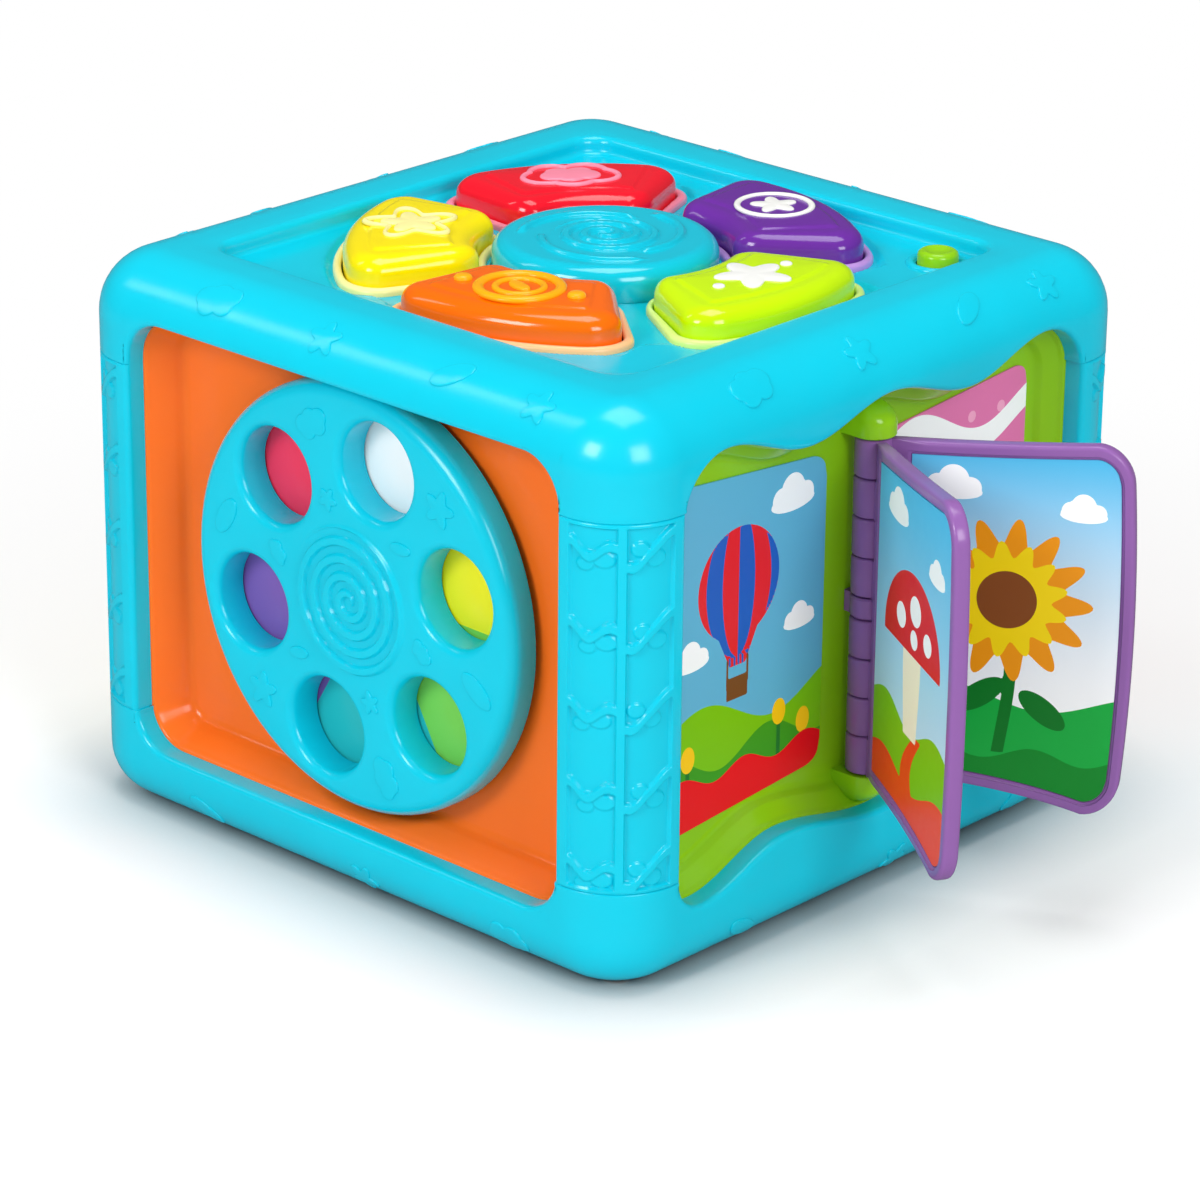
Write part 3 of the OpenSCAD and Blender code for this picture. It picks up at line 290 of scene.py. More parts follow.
def fill(loops, lift):
    """Flat triangles inside the first outline and outside the others, lifted into place by a function."""
    flat = np.concatenate(loops)
    edges = np.split(np.arange(len(flat)), np.cumsum([len(loop) for loop in loops])[:-1])
    found = delaunay_2d_cdt([Vector(p) for p in flat.tolist()], [], [e.tolist() for e in edges], 2, 1e-6)
    return lift(np.array([tuple(v) for v in found[0]])), [np.array([list(t) for t in found[2]])]


def slab(front, back):
    """Closed plate between two grids of the same shape."""
    m, n = front.shape[:2]
    index = np.arange(m * n).reshape(m, n)
    face = np.stack([index[:-1, :-1], index[:-1, 1:], index[1:, 1:], index[1:, :-1]], -1).reshape(-1, 4)
    rim = np.concatenate([index[0], index[1:, -1], index[-1, -2::-1], index[-2:0:-1, 0]])
    ahead = np.roll(rim, -1)
    sides = np.stack([ahead, rim, rim + m * n, ahead + m * n], -1)
    return np.vstack([front.reshape(-1, 3), back.reshape(-1, 3)]), [face, face[:, ::-1] + m * n, sides]


def joined(name, parts, fields=None, weld=True):
    """One mesh from surfaces in millimetres, with doubled points welded and faces turned outward.

    A part is points and face groups, with a third item where it takes another finish than the first.
    """
    points, faces, slots, base = [], [], [], 0
    for part in parts:
        for group in part[1]:
            faces.extend((group + base).tolist())
            slots.extend([part[2] if len(part) > 2 else 0] * len(group))
        points.append(part[0])
        base += len(part[0])
    mesh = bpy.data.meshes.new(name)
    mesh.from_pydata((np.vstack(points) * MM).tolist(), [], faces)
    mesh.polygons.foreach_set("material_index", slots)
    for key, values in (fields or {}).items():
        mesh.attributes.new(key, "FLOAT", "POINT").data.foreach_set("value", values)
    work = bmesh.new()
    work.from_mesh(mesh)
    if weld:
        bmesh.ops.remove_doubles(work, verts=work.verts, dist=WELD * MM)
    bmesh.ops.recalc_face_normals(work, faces=work.faces)
    work.to_mesh(mesh)
    work.free()
    return mesh


def piece(name, parts, body, nodes, finishes, sharp=SHARP, fields=None, weld=True):
    """One object from surfaces, smooth up to an angle, that rides on a body in place of CAD nodes."""
    mesh = joined(name, parts, fields, weld)
    obj = bpy.data.objects.new(name, mesh)
    bpy.context.scene.collection.objects.link(obj)
    for finish in finishes:
        mesh.materials.append(finish)
    soften(obj, sharp)
    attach(obj, body)
    if nodes:
        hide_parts(*nodes)
    return obj


def soften(obj, sharp):
    """Smooth shading, with a crease wherever two faces meet at more than an angle."""
    obj.data.polygons.foreach_set("use_smooth", [True] * len(obj.data.polygons))
    obj.data.set_sharp_from_angle(angle=math.radians(sharp))


def cut(obj, parts):
    """Takes closed surfaces out of an object."""
    tool = bpy.data.objects.new("cutter", joined("cutter", parts, weld=False))
    bpy.context.scene.collection.objects.link(tool)
    change = obj.modifiers.new("cut", "BOOLEAN")
    change.operation = "DIFFERENCE"
    change.solver = "EXACT"
    change.use_self = True
    change.object = tool
    bpy.context.view_layer.update()
    done = bpy.data.meshes.new_from_object(obj.evaluated_get(bpy.context.evaluated_depsgraph_get()))
    obj.modifiers.remove(change)
    obj.data = done
    bpy.data.objects.remove(tool)
    soften(obj, SHARP)


def prism(outline, z0, z1):
    """Upright closed block over an outline."""
    low = np.column_stack([outline, np.full(len(outline), z0)])
    high = np.column_stack([outline, np.full(len(outline), z1)])
    return loft([low, high], low.mean(0), high.mean(0))


def revolve(profile, place, count=160, start=None, end=None):
    """Profile of (radius, along) turned round an axis.

    The function place takes two distances across the axis and one along it to a point in space.
    """
    profile = np.asarray(profile, float)
    angle = np.linspace(0.0, 2.0 * np.pi, count, endpoint=False)
    r, along = profile[:, 0][:, None], profile[:, 1][:, None]
    rings = place(r * np.cos(angle), r * np.sin(angle), along + 0.0 * angle)
    start = None if start is None else place(0.0, 0.0, start)
    end = None if end is None else place(0.0, 0.0, end)
    return loft(rings, start, end)


def stand(x, y):
    """Place for a revolve about an upright axis."""
    return lambda a, b, along: np.stack(np.broadcast_arrays(x + a, y + b, along), -1).astype(float)


def facing(u, z, side):
    """Place for a revolve about an axis square to a side, with along as depth behind the face."""
    return lambda a, b, along: on_side(u + a, along, z + b, side)


def flat_at(place, along):
    """Lift for a flat fill square to an axis, at one distance along it."""
    return lambda f: place(f[:, 0], f[:, 1], np.full(len(f), along))


def quarter(r0, a0, dr, da, steps=6):
    """Profile points of a quarter ellipse that leaves (r0, a0) along the axis and turns to run across it."""
    t = np.linspace(0.0, np.pi / 2, steps)
    return np.stack([r0 + dr * (1.0 - np.cos(t)), a0 + da * np.sin(t)], -1)


# Finishes

def hex_linear(code):
    """Linear colour from an sRGB hex value."""
    srgb = np.array([int(code[i:i + 2], 16) for i in (1, 3, 5)]) / 255.0
    return tuple(np.where(srgb <= 0.04045, srgb / 12.92, ((srgb + 0.055) / 1.055) ** 2.4).tolist())


def add(tree, kind, inputs=None, **settings):
    """A node with its settings, and its inputs set to values or linked to other nodes' sockets."""
    node = tree.nodes.new(kind)
    for key, value in settings.items():
        setattr(node, key, value)
    for key, value in (inputs or {}).items():
        if isinstance(value, bpy.types.NodeSocket):
            tree.links.new(value, node.inputs[key])
        else:
            node.inputs[key].default_value = value
    return node


def fresh(name):
    """An empty node material."""
    material = bpy.data.materials.new(name)
    material.use_nodes = True
    material.node_tree.nodes.clear()
    return material, material.node_tree


def shade(colour, factor):
    """Colour with alpha, made lighter or darker."""
    return tuple(min(1.0, c * factor) for c in colour) + (1.0,)


def moulded(name, colour, rough=0.2, level=0.35):
    """Injection-moulded ABS.

    Even colour with faint clouds 40 mm wide from the flow of the melt, a soft gloss that changes a little
    over 6 mm, and shallow waves 14 mm long that the cooling wall leaves in reflections.
    """
    flow, patch, sink = 40.0 * MM, 6.0 * MM, 14.0 * MM
    material, tree = fresh(name)
    place = add(tree, "ShaderNodeTexCoord").outputs["Object"]
    cloud = add(tree, "ShaderNodeTexNoise", {"Vector": place, "Scale": 1 / flow, "Detail": 3.0})
    tint = add(tree, "ShaderNodeMix", {0: cloud.outputs["Fac"], 6: shade(colour, 0.93),
                                       7: shade(colour, 1.06)}, data_type="RGBA")
    spot = add(tree, "ShaderNodeTexNoise", {"Vector": place, "Scale": 1 / patch, "Detail": 2.0})
    gloss = add(tree, "ShaderNodeMapRange", {"Value": spot.outputs["Fac"], "To Min": rough - 0.05,
                                             "To Max": rough + 0.05})
    ripple = add(tree, "ShaderNodeTexNoise", {"Vector": place, "Scale": 1 / sink, "Detail": 1.0})
    bump = add(tree, "ShaderNodeBump", {"Height": ripple.outputs["Fac"], "Strength": 0.12,
                                        "Distance": 0.4 * MM})
    skin = add(tree, "ShaderNodeBsdfPrincipled", {
        "Base Color": tint.outputs[2], "Roughness": gloss.outputs["Result"], "IOR": 1.53,
        "Specular IOR Level": level, "Normal": bump.outputs["Normal"]})
    add(tree, "ShaderNodeOutputMaterial", {"Surface": skin.outputs["BSDF"]})
    return material


def steel(name):
    """Zinc-plated steel: pale grey metal with a fine passivated mottle about 1.5 mm wide."""
    material, tree = fresh(name)
    place = add(tree, "ShaderNodeTexCoord").outputs["Object"]
    mottle = add(tree, "ShaderNodeTexNoise", {"Vector": place, "Scale": 1 / 0.0015, "Detail": 4.0})
    tint = add(tree, "ShaderNodeMix", {0: mottle.outputs["Fac"], 6: hex_linear("#A9ADAF") + (1.0,),
                                       7: hex_linear("#D6D9DA") + (1.0,)}, data_type="RGBA")
    gloss = add(tree, "ShaderNodeMapRange", {"Value": mottle.outputs["Fac"], "To Min": 0.22, "To Max": 0.4})
    skin = add(tree, "ShaderNodeBsdfPrincipled", {"Base Color": tint.outputs[2], "Metallic": 1.0,
                                                  "Roughness": gloss.outputs["Result"]})
    add(tree, "ShaderNodeOutputMaterial", {"Surface": skin.outputs["BSDF"]})
    return material


def printed(name, ground, layers):
    """Satin film with flat inks over a ground colour.

    Each layer is an ink colour and the name of a field on the mesh: an ink covers where its field, a distance
    from the motif's edge in millimetres, is below zero. A field named fade_ blends its ink by its value. The
    gloss changes over the film's grain, 3 mm wide.
    """
    material, tree = fresh(name)
    place = add(tree, "ShaderNodeTexCoord").outputs["Object"]
    colour = None
    for code, field in layers:
        value = add(tree, "ShaderNodeAttribute", attribute_name=field).outputs["Fac"]
        if not field.startswith("fade_"):
            value = add(tree, "ShaderNodeMath", {0: value, 1: 0.0}, operation="LESS_THAN").outputs[0]
        below = hex_linear(ground) + (1.0,) if colour is None else colour
        colour = add(tree, "ShaderNodeMix", {0: value, 6: below, 7: hex_linear(code) + (1.0,)},
                     data_type="RGBA").outputs[2]
    grain = add(tree, "ShaderNodeTexNoise", {"Vector": place, "Scale": 1 / 0.003, "Detail": 2.0})
    gloss = add(tree, "ShaderNodeMapRange", {"Value": grain.outputs["Fac"], "To Min": 0.3, "To Max": 0.42})
    skin = add(tree, "ShaderNodeBsdfPrincipled", {"Base Color": colour, "Roughness": gloss.outputs["Result"],
                                                  "IOR": 1.5, "Specular IOR Level": 0.25})
    add(tree, "ShaderNodeOutputMaterial", {"Surface": skin.outputs["BSDF"]})
    return material


def finish(key):
    """The material of a record slot, made at its first use from the panel's colours."""
    found = bpy.data.materials.get(FINISH_NAMES.get(key, key))
    if found:
        return found
    if key == "zinc_steel":
        return steel(FINISH_NAMES[key])
    colours = bpy.context.scene.activity_cube_colours
    if key in CAP_FINISHES:
        return moulded(FINISH_NAMES[key], tuple(getattr(colours, key)), CAP_ROUGH, CAP_LEVEL)
    return moulded(FINISH_NAMES[key], tuple(getattr(colours, key)), FINISH_ROUGH.get(key, 0.2))


FINISH_NAMES = {
    "blue": "moulded ABS, cyan blue", "orange": "moulded ABS, orange", "lime": "moulded ABS, lime",
    "purple": "moulded ABS, purple", "red": "moulded ABS, red", "yellow": "moulded ABS, yellow",
    "white": "moulded ABS, white", "gold": "moulded ABS, golden", "black": "moulded ABS, black",
    "cap_orange": "moulded ABS, amber cap", "cap_lime": "moulded ABS, bright lime cap",
    "cap_purple": "moulded ABS, violet cap", "cap_blue": "moulded ABS, blue cap",
    "trim_peach": "moulded ABS, peach", "trim_lime": "moulded ABS, pale lime",
    "trim_lilac": "moulded ABS, lilac", "trim_pink": "moulded ABS, pink", "trim_straw": "moulded ABS, straw",
    "teal": "printed disc, teal", "disc_violet": "printed disc, violet", "disc_green": "printed disc, green",
    "disc_red": "printed disc, red", "disc_yellow": "printed disc, yellow",
    "disc_white": "printed disc, white", "laminate": "glass-epoxy laminate, green mask",
    "silicone": "silicone rubber, milky", "jacket": "cell jacket film", "lead_red": "lead insulation, red",
    "lead_black": "lead insulation, black", "zinc_steel": "zinc-plated steel",
}
# Polished caps are glossier than the shells, and the pieces inside duller
CAP_FINISHES = ("cap_orange", "cap_lime", "cap_purple", "cap_blue", "red", "yellow")
CAP_ROUGH = 0.13
CAP_LEVEL = 0.5
FINISH_ROUGH = {"silicone": 0.5, "black": 0.45, "laminate": 0.35, "jacket": 0.3}


def length_of(name, description, length):
    """A length property with its default in millimetres."""
    return bpy.props.FloatProperty(name=name, description=description, default=length * MM, unit="LENGTH")


def colour_of(name, description, code):
    """A colour property with its default."""
    return bpy.props.FloatVectorProperty(name=name, description=description, subtype="COLOR", size=3, min=0.0,
                                         max=1.0, default=hex_linear(code))


class CubeColours(bpy.types.PropertyGroup):
    """Colours of the mouldings."""
    blue: colour_of("Blue", "Shells, posts and dial", "#06C6DF")
    orange: colour_of("Orange", "Dial panel", "#FF7420")
    lime: colour_of("Lime", "Book panel", "#8FCB14")
    purple: colour_of("Purple", "Pages and spine", "#8E5FA4")
    red: colour_of("Red", "Red button, roller panel and large gear", "#F0142A")
    yellow: colour_of("Yellow", "Yellow button and gear panel", "#FFE600")
    white: colour_of("White", "Pins, rod and printed icons", "#F4F4F0")
    cap_orange: colour_of("Amber", "Orange button", "#FF6C00")
    cap_lime: colour_of("Bright lime", "Green button", "#C8F000")
    cap_purple: colour_of("Violet", "Purple button", "#6A2C9C")
    cap_blue: colour_of("Cap blue", "Centre button", "#08C0D8")
    trim_peach: colour_of("Peach", "Trim of the orange button", "#FFC08A")
    trim_lime: colour_of("Pale lime", "Trim of the green button", "#D9F58A")
    trim_lilac: colour_of("Lilac", "Trim of the purple button", "#B98FD6")
    # Pink also tints the red cap's raised icon, as a painted highlight on a relief of the cap's own red
    trim_pink: colour_of("Pink", "Trim of the red button", "#FF8FA8")
    # Straw also tints the yellow cap's raised icon, as a painted highlight on a relief of the cap's own
    # yellow
    trim_straw: colour_of("Straw", "Trim of the yellow button", "#FFF2A0")
    teal: colour_of("Teal", "Teal sector behind the dial", "#26BCC0")
    disc_violet: colour_of("Disc violet", "Violet sector behind the dial", "#8460B4")
    disc_green: colour_of("Disc green", "Green sector behind the dial", "#7ED656")
    disc_red: colour_of("Disc red", "Red sector behind the dial", "#FF3C60")
    disc_yellow: colour_of("Disc yellow", "Yellow sector behind the dial", "#FFF020")
    disc_white: colour_of("Disc white", "White sector behind the dial", "#FFFFFF")
    gold: colour_of("Gold", "Ornament of the orange button", "#FFAE0D")
    laminate: colour_of("Laminate", "Circuit board", "#1F6B3A")
    silicone: colour_of("Silicone", "Switch domes", "#DADCD6")
    black: colour_of("Black", "Battery box and speaker", "#202224")
    jacket: colour_of("Cell jacket", "Cells", "#3A4A5A")
    lead_red: colour_of("Red lead", "Battery lead", "#C81E1E")
    lead_black: colour_of("Black lead", "Speaker lead", "#1A1A1A")


class CubeSizes(bpy.types.PropertyGroup):
    """Sizes of the surface detail."""
    lip_round: length_of("Lip rounding", "Edge rounding round the side openings", 1.6)
    post_relief: length_of("Post relief", "Depth of the trellis's cells on the posts", 1.1)
    dial_relief: length_of("Dial relief", "Height of the dial's spiral", 1.0)
    spiral_pitch: length_of("Spiral pitch", "Spacing of the dial's spiral turns", 4.7)
    cap_round: length_of("Cap rounding", "Edge rounding of the button caps", 4.5)
    page_edge: length_of("Page edge", "Rounding of the page frames", 1.2)


def size(name):
    """A surface size in millimetres."""
    return getattr(bpy.context.scene.activity_cube_sizes, name) / MM


# Shells and posts

def shell_rows(top):
    """Rows of points over a shell, from the middle of its inner face round its edge to its outer face.

    Columns run round the cube. On each side they start from the shell's edge, the seam at the posts and the
    opening's outline between. The edge is rounded in its own plane, then the face follows the wall and the
    quarter-circle outer edge to the flat.
    """
    seam, sign = (SEAM_HIGH, 1.0) if top else (SEAM_LOW, -1.0)
    edge_r = TOP_EDGE_R if top else BASE_EDGE_R
    flat_z = HEIGHT if top else 0.0
    inner_z = TRAY_Z - WALL if top else WALL
    wall = abs(flat_z - seam) - edge_r
    run_end = wall + edge_r * np.pi / 2
    ends, columns, seam_r = 3, 150, 0.5

    def section(t):
        """Corner radius and height at a run t from the seam: straight up the wall, then round the edge."""
        a = np.clip((t - wall) / edge_r, 0.0, np.pi / 2)
        r = CORNER_R - edge_r * (1.0 - np.cos(a))
        return r, seam + sign * (np.minimum(t, wall) + edge_r * np.sin(a))

    bend = np.radians(np.linspace(-90.0, 0.0, 14)[1:-1])
    quarters = []
    for side in range(4):
        outline = opening_outline(side, 0.0)
        if top:
            run = outline[outline[:, 1] > seam][::-1]
        else:
            away = np.flatnonzero(outline[:, 1] >= seam)
            run = np.concatenate([outline[away[-1] + 1:], outline[:away[0]]])
        run = np.concatenate([[[run[0, 0], seam]], run, [[run[-1, 0], seam]]])
        left = np.column_stack([np.linspace(-CORE, run[0, 0], ends + 1)[:-1], np.full(ends, seam)])
        right = np.column_stack([np.linspace(run[-1, 0], CORE, ends + 1)[1:], np.full(ends, seam)])
        path = np.concatenate([left, resample(run, columns), right])
        step = np.gradient(path, axis=0)
        step /= np.linalg.norm(step, axis=1)[:, None]
        out_u, out_z = -sign * step[:, 1], sign * step[:, 0]
        out_u[:ends], out_z[:ends] = 0.0, sign
        out_u[-ends:], out_z[-ends:] = 0.0, sign
        bends = len(bend)
        angle = np.concatenate([np.full(len(path), np.nan), bend])
        corner = ~np.isnan(angle)
        angle = np.nan_to_num(angle)
        u = np.concatenate([path[:, 0], np.full(bends, CORE)])
        z = np.concatenate([path[:, 1], np.full(bends, seam)])
        out_u = np.concatenate([out_u, np.zeros(bends)])
        out_z = np.concatenate([out_z, np.full(bends, sign)])
        lip = np.ones(len(u), bool)
        lip[:ends] = False
        lip[len(path) - ends:] = False
        round_r = np.where(lip, size("lip_round"), seam_r)
        end_r = np.where(lip, CORNER_R - LIP, CORNER_R - WALL)
        length = np.concatenate([[0.0], np.cumsum(np.linalg.norm(np.diff(path, axis=0), axis=1))])
        even = np.concatenate([np.interp(length, [0.0, length[-1]], [-CORE, CORE]), np.full(bends, CORE)])
        even = 0.5 * even + 0.5 * u

        def place(u, core, r, z):
            """Points on a square of half width core grown by r, with quarter circles at its corners."""
            x = np.where(corner, core + r * np.cos(angle), u * core / CORE)
            y = np.where(corner, -core + r * np.sin(angle), -(core + r))
            return np.stack(np.broadcast_arrays(x, y, z), -1)

        h = np.abs(z - seam)
        t0 = np.where(h < wall, h, wall + edge_r * np.arcsin(np.clip((h - wall) / edge_r, 0.0, 1.0)))
        r0 = section(t0)[0]
        rows = [place(even, 0.55 * CORE, 0.0, inner_z), place(even, CORE, CORNER_R - edge_r, inner_z),
                place(u, CORE, end_r, z), place(u, CORE, end_r + 0.6 * (r0 - round_r - end_r), z)]
        for a in np.linspace(0.0, np.pi / 2, 6):
            shift = round_r * (1.0 - np.cos(a))
            t = t0 + sign * out_z * shift
            r, height = section(t)
            rows.append(place(u + out_u * shift, CORE, r - round_r * (1.0 - np.sin(a)), height))
        u1, t1 = u + out_u * round_r, t0 + sign * out_z * round_r
        for k in np.linspace(0.0, 1.0, 19)[1:]:
            r, height = section(t1 + (run_end - t1) * k)
            rows.append(place(u1 + (even - u1) * k, CORE, r, height))
        if top:
            core = TRAY_HALF - TRAY_R
            rows.append(place(even, 0.5 * (CORE + core), 6.5, HEIGHT))
            for a in np.linspace(0.0, np.pi / 2, 6):
                rows.append(place(even, core, TRAY_R + TRAY_EDGE_R * (1.0 - np.sin(a)),
                                  HEIGHT - TRAY_EDGE_R * (1.0 - np.cos(a))))
            ledge = TRAY_Z + TRAY_STEP
            for a in np.linspace(0.0, np.pi / 2, 5):
                rows.append(place(even, core, TRAY_R - TRAY_FOOT_R * (1.0 - np.cos(a)),
                                  ledge + TRAY_FOOT_R * (1.0 - np.sin(a))))
            for k in FLOOR_STEPS:
                rows.append(place(even, core * k, (TRAY_R - TRAY_FOOT_R) * k, ledge))
        else:
            for k in (0.9, 0.6, 0.3):
                rows.append(place(even, CORE * k, (CORNER_R - edge_r) * k, 0.0))
        quarters.append(turn(np.array(rows), 90.0 * side))
    rings = np.concatenate(quarters, axis=1)
    if top:
        last = -len(FLOOR_STEPS) - 1
        rings[last:] = tray_floor(rings[last:])
    return rings, inner_z, TRAY_Z if top else 0.0


FLOOR_STEPS = np.concatenate([np.linspace(1.0, 0.62, 44)[1:], [0.5]])


def tray_floor(points):
    """The tray's floor steps down inside a five-lobed outline, 8 mm nearer the middle between two buttons.

    The edge's radius falls by a smooth step over the angle off the nearest button's middle.
    """
    share, room, notch, notch_from, notch_over, slope = 72.0, 3.4, 8.0, 27.0, 7.0, 1.4
    angle = np.degrees(np.arctan2(points[..., 1], points[..., 0]))
    off = np.abs((angle + share / 2) % share - share / 2)
    edge = FAN_OUT + room - notch * smooth((off - notch_from) / notch_over)
    rise = smooth((np.hypot(points[..., 0], points[..., 1]) - edge) / slope)
    points[..., 2] = TRAY_Z + TRAY_STEP * rise
    return points


class CUBE_OT_shells(bpy.types.Operator):
    """Top and base shell, with the tray, button holes, grille, screw wells and battery opening"""
    bl_idname = "activity_cube.shells"
    bl_label = "Shells"

    def execute(self, context):
        cut(self.shell("top", True), self.button_holes())
        cut(self.shell("base", False), self.underside_holes())
        for name, top, spots in (("top", True, TOP_SPOTS), ("base", False, BASE_SPOTS)):
            parts = [emblem(shape(r), u, run, ORNAMENT_RISE, on_rail(side, top), spin)
                     for side in range(4) for shape, r, u, run, spin in spots]
            piece("%s_shell_ornaments" % name, parts, "housing", [], [finish("blue")])
        return {"FINISHED"}

    def shell(self, name, top):
        """One shell without its holes."""
        rings, inner, middle = shell_rows(top)
        return piece("%s_shell_skin" % name, [loft(rings, (0, 0, inner), (0, 0, middle))], "housing",
                     ["%s_shell" % name], [finish("blue")])

    def button_holes(self):
        """Holes in the tray for the fan buttons, the centre button and the mode button."""
        low, high = TRAY_Z - 6, TRAY_Z + 4
        holes = [turned(prism(fan_outline(CAP_GAP), low, high), a) for a in FAN_TURNS.values()]
        holes.append(prism(circle(0, 0, CENTRE_R + CAP_GAP, 96), low, high))
        holes.append(prism(circle(MODE_AT, MODE_AT, MODE_R + CAP_GAP, 48), low, high))
        return holes

    def underside_holes(self):
        """Screw wells in the corners, the battery door's opening and a round grille under the speaker."""
        below, well_top, door_top, grille_top = -1, 20, WALL + 0.01, 4
        door_gap, door_r, grille_r = 0.3, 2.0, 1.5
        well = HALF_W - WELL_IN
        holes = [prism(circle(x, y, WELL_R, 32), below, well_top)
                 for x in (-well, well) for y in (-well, well)]
        low, high = span("battery_door")
        holes.append(prism(rounded_box(low[0] - door_gap, high[0] + door_gap, low[1] - door_gap,
                                       high[1] + door_gap, door_r, 20, 20, 8), below, door_top))
        spots = np.concatenate([[[0, 0]], circle(0, 0, 7, 6), circle(0, 0, 14, 12)])
        middle = np.mean(span("speaker"), axis=0)
        holes += [prism(circle(middle[0] + s[0], middle[1] + s[1], grille_r, 24), below, grille_top)
                  for s in spots]
        return holes


def turned(part, degrees):
    """A surface turned about Z."""
    return (turn(part[0], degrees),) + tuple(part[1:])


def on_rail(side, top):
    """Place for raised shapes on a shell.

    It takes the distance along the face, the run from the seam round the outer edge, and the height off it.
    """
    seam, sign = (SEAM_HIGH, 1.0) if top else (SEAM_LOW, -1.0)
    edge_r = TOP_EDGE_R if top else BASE_EDGE_R
    wall = abs((HEIGHT if top else 0.0) - seam) - edge_r

    def place(u, run, h):
        """Point at a run up the wall and round the edge, lifted by h square to the surface."""
        a = np.clip((run - wall) / edge_r, 0.0, np.pi / 2)
        z = seam + sign * (np.minimum(run, wall) + (edge_r + h) * np.sin(a))
        return on_side(u, edge_r - (edge_r + h) * np.cos(a), z, side)
    return place


def emblem(radius, x, y, rise, place, spin=0.0, count=96):
    """Low raised shape of outline radius(angle): an upright edge, a rounded shoulder and a flat top."""
    a = np.linspace(0.0, 2.0 * np.pi, count, endpoint=False)
    r = radius(a) + 0.0 * a
    rings = []
    for inset, h in ((0.0, -0.6), (0.0, 0.3), (0.25, 0.7), (0.7, 0.93), (1.4, 1.0)):
        k = np.maximum(r - inset * rise, 0.05)
        rings.append(place(x + k * np.cos(a + spin), y + k * np.sin(a + spin), np.full(count, rise * h)))
    return loft(rings, place(x, y, -0.6 * rise), place(x, y, rise))


def cord(radius, x, y, half, rise, place, spin=0.0, count=120):
    """Ridge of oval section along the closed outline radius(angle)."""
    a = np.linspace(0.0, 2.0 * np.pi, count, endpoint=False)
    b = np.linspace(0.0, 2.0 * np.pi, 16, endpoint=False)[:, None]
    r = radius(a) + half * np.cos(b)
    return tube(place(x + r * np.cos(a + spin), y + r * np.sin(a + spin), rise * np.sin(b) + 0.0 * a))


def above(level):
    """Place for raised shapes on flat ground at a level."""
    return lambda a, b, h: np.stack(np.broadcast_arrays(a, b, level + h), -1)


def ring(r):
    """Round outline."""
    return lambda a: r + 0.0 * a


def blossom(r):
    """Outline with five round lobes."""
    return lambda a: r * (0.78 + 0.22 * np.cos(5.0 * a))


def puff(r):
    """Outline of a cloud: wide lobes above, flat below."""
    return lambda a: r * (0.74 + 0.16 * np.abs(np.sin(2.5 * a + 0.8)) + 0.18 * np.cos(2.0 * a))


def leaf(r):
    """Outline of a slim leaf."""
    return lambda a: r / np.sqrt(np.cos(a) ** 2 + (2.1 * np.sin(a)) ** 2)


def twinkle(r):
    """Outline of a soft five-pointed star."""
    return lambda a: r * (1.0 - 0.45 * smooth(np.abs((a + 0.6283) % 1.2566 - 0.6283) / 0.6283))


# Ornaments of a shell's side: shape, radius, place along the face, run from the seam, turn
TOP_SPOTS = ((puff, 7.0, -48.0, 25.5, 0.2), (blossom, 5.4, -8.0, 24.5, 0.4), (leaf, 6.4, 36.0, 26.0, 0.6),
             (blossom, 5.2, 66.0, 25.0, 0.2))
BASE_SPOTS = ((leaf, 6.0, -52.0, 22.0, 0.5), (blossom, 5.0, 8.0, 22.5, 0.2), (puff, 6.4, 60.0, 22.0, 0.0))


def post_relief(s, z):
    """Height of the post's trellis, 0 in its cells to 1 flush, over distance s round the post and height z.

    Two bands along the edges, a rib up the middle, and five pairs of broad branches: on the left each dips
    and comes back to the rib, on the right each leaves the rib low and rises to the band. Low oval leaves lie
    beside them. Every edge is a smooth step.
    """
    edge, inner, half, rib, end = 0.55, 13.9, 1.35, 1.25, 1.3

    def inside(distance):
        """1 inside a shape to 0 outside it, over the width of its edge."""
        return 1.0 - smooth(distance / edge + 0.5)

    step, first = 21.2, 34.5
    row = np.floor((z - first + step / 2) / step)
    near = z - first - row * step
    t = np.clip(s / inner + 1.0, 0.0, 1.0)
    left = np.abs(near - 1.9 * np.cos(2.0 * np.pi * t / 0.8) * (1.0 - 0.35 * t)) - half
    t = np.clip(s / inner, 0.0, 1.0)
    sag = 0.9 * np.sin(np.pi * np.minimum(2.2 * t, 1.0))
    right = np.abs(near + 3.4 + sag - 7.6 * smooth((t - 0.15) / 0.9)) - half
    shapes = [inside(inner - np.abs(s)), inside(np.abs(s) - rib), inside(np.where(s < 0.0, left, right))]
    shift = 0.8 * np.sin(2.4 * row)
    for cx, cy, a, b in ((-4.6, -2.4, 3.0, 2.0), (-9.6, -3.8, 2.4, 1.7), (9.0, -2.2, 2.8, 2.2),
                         (4.8, 0.4, 2.4, 1.9)):
        shapes.append(0.5 * inside(oval(s, near, cx + shift, cy - 0.4 * shift, a, b)))
    shapes.append(inside(np.minimum(SEAM_HIGH - z, z - SEAM_LOW) - end))
    return np.maximum.reduce(np.broadcast_arrays(*shapes))


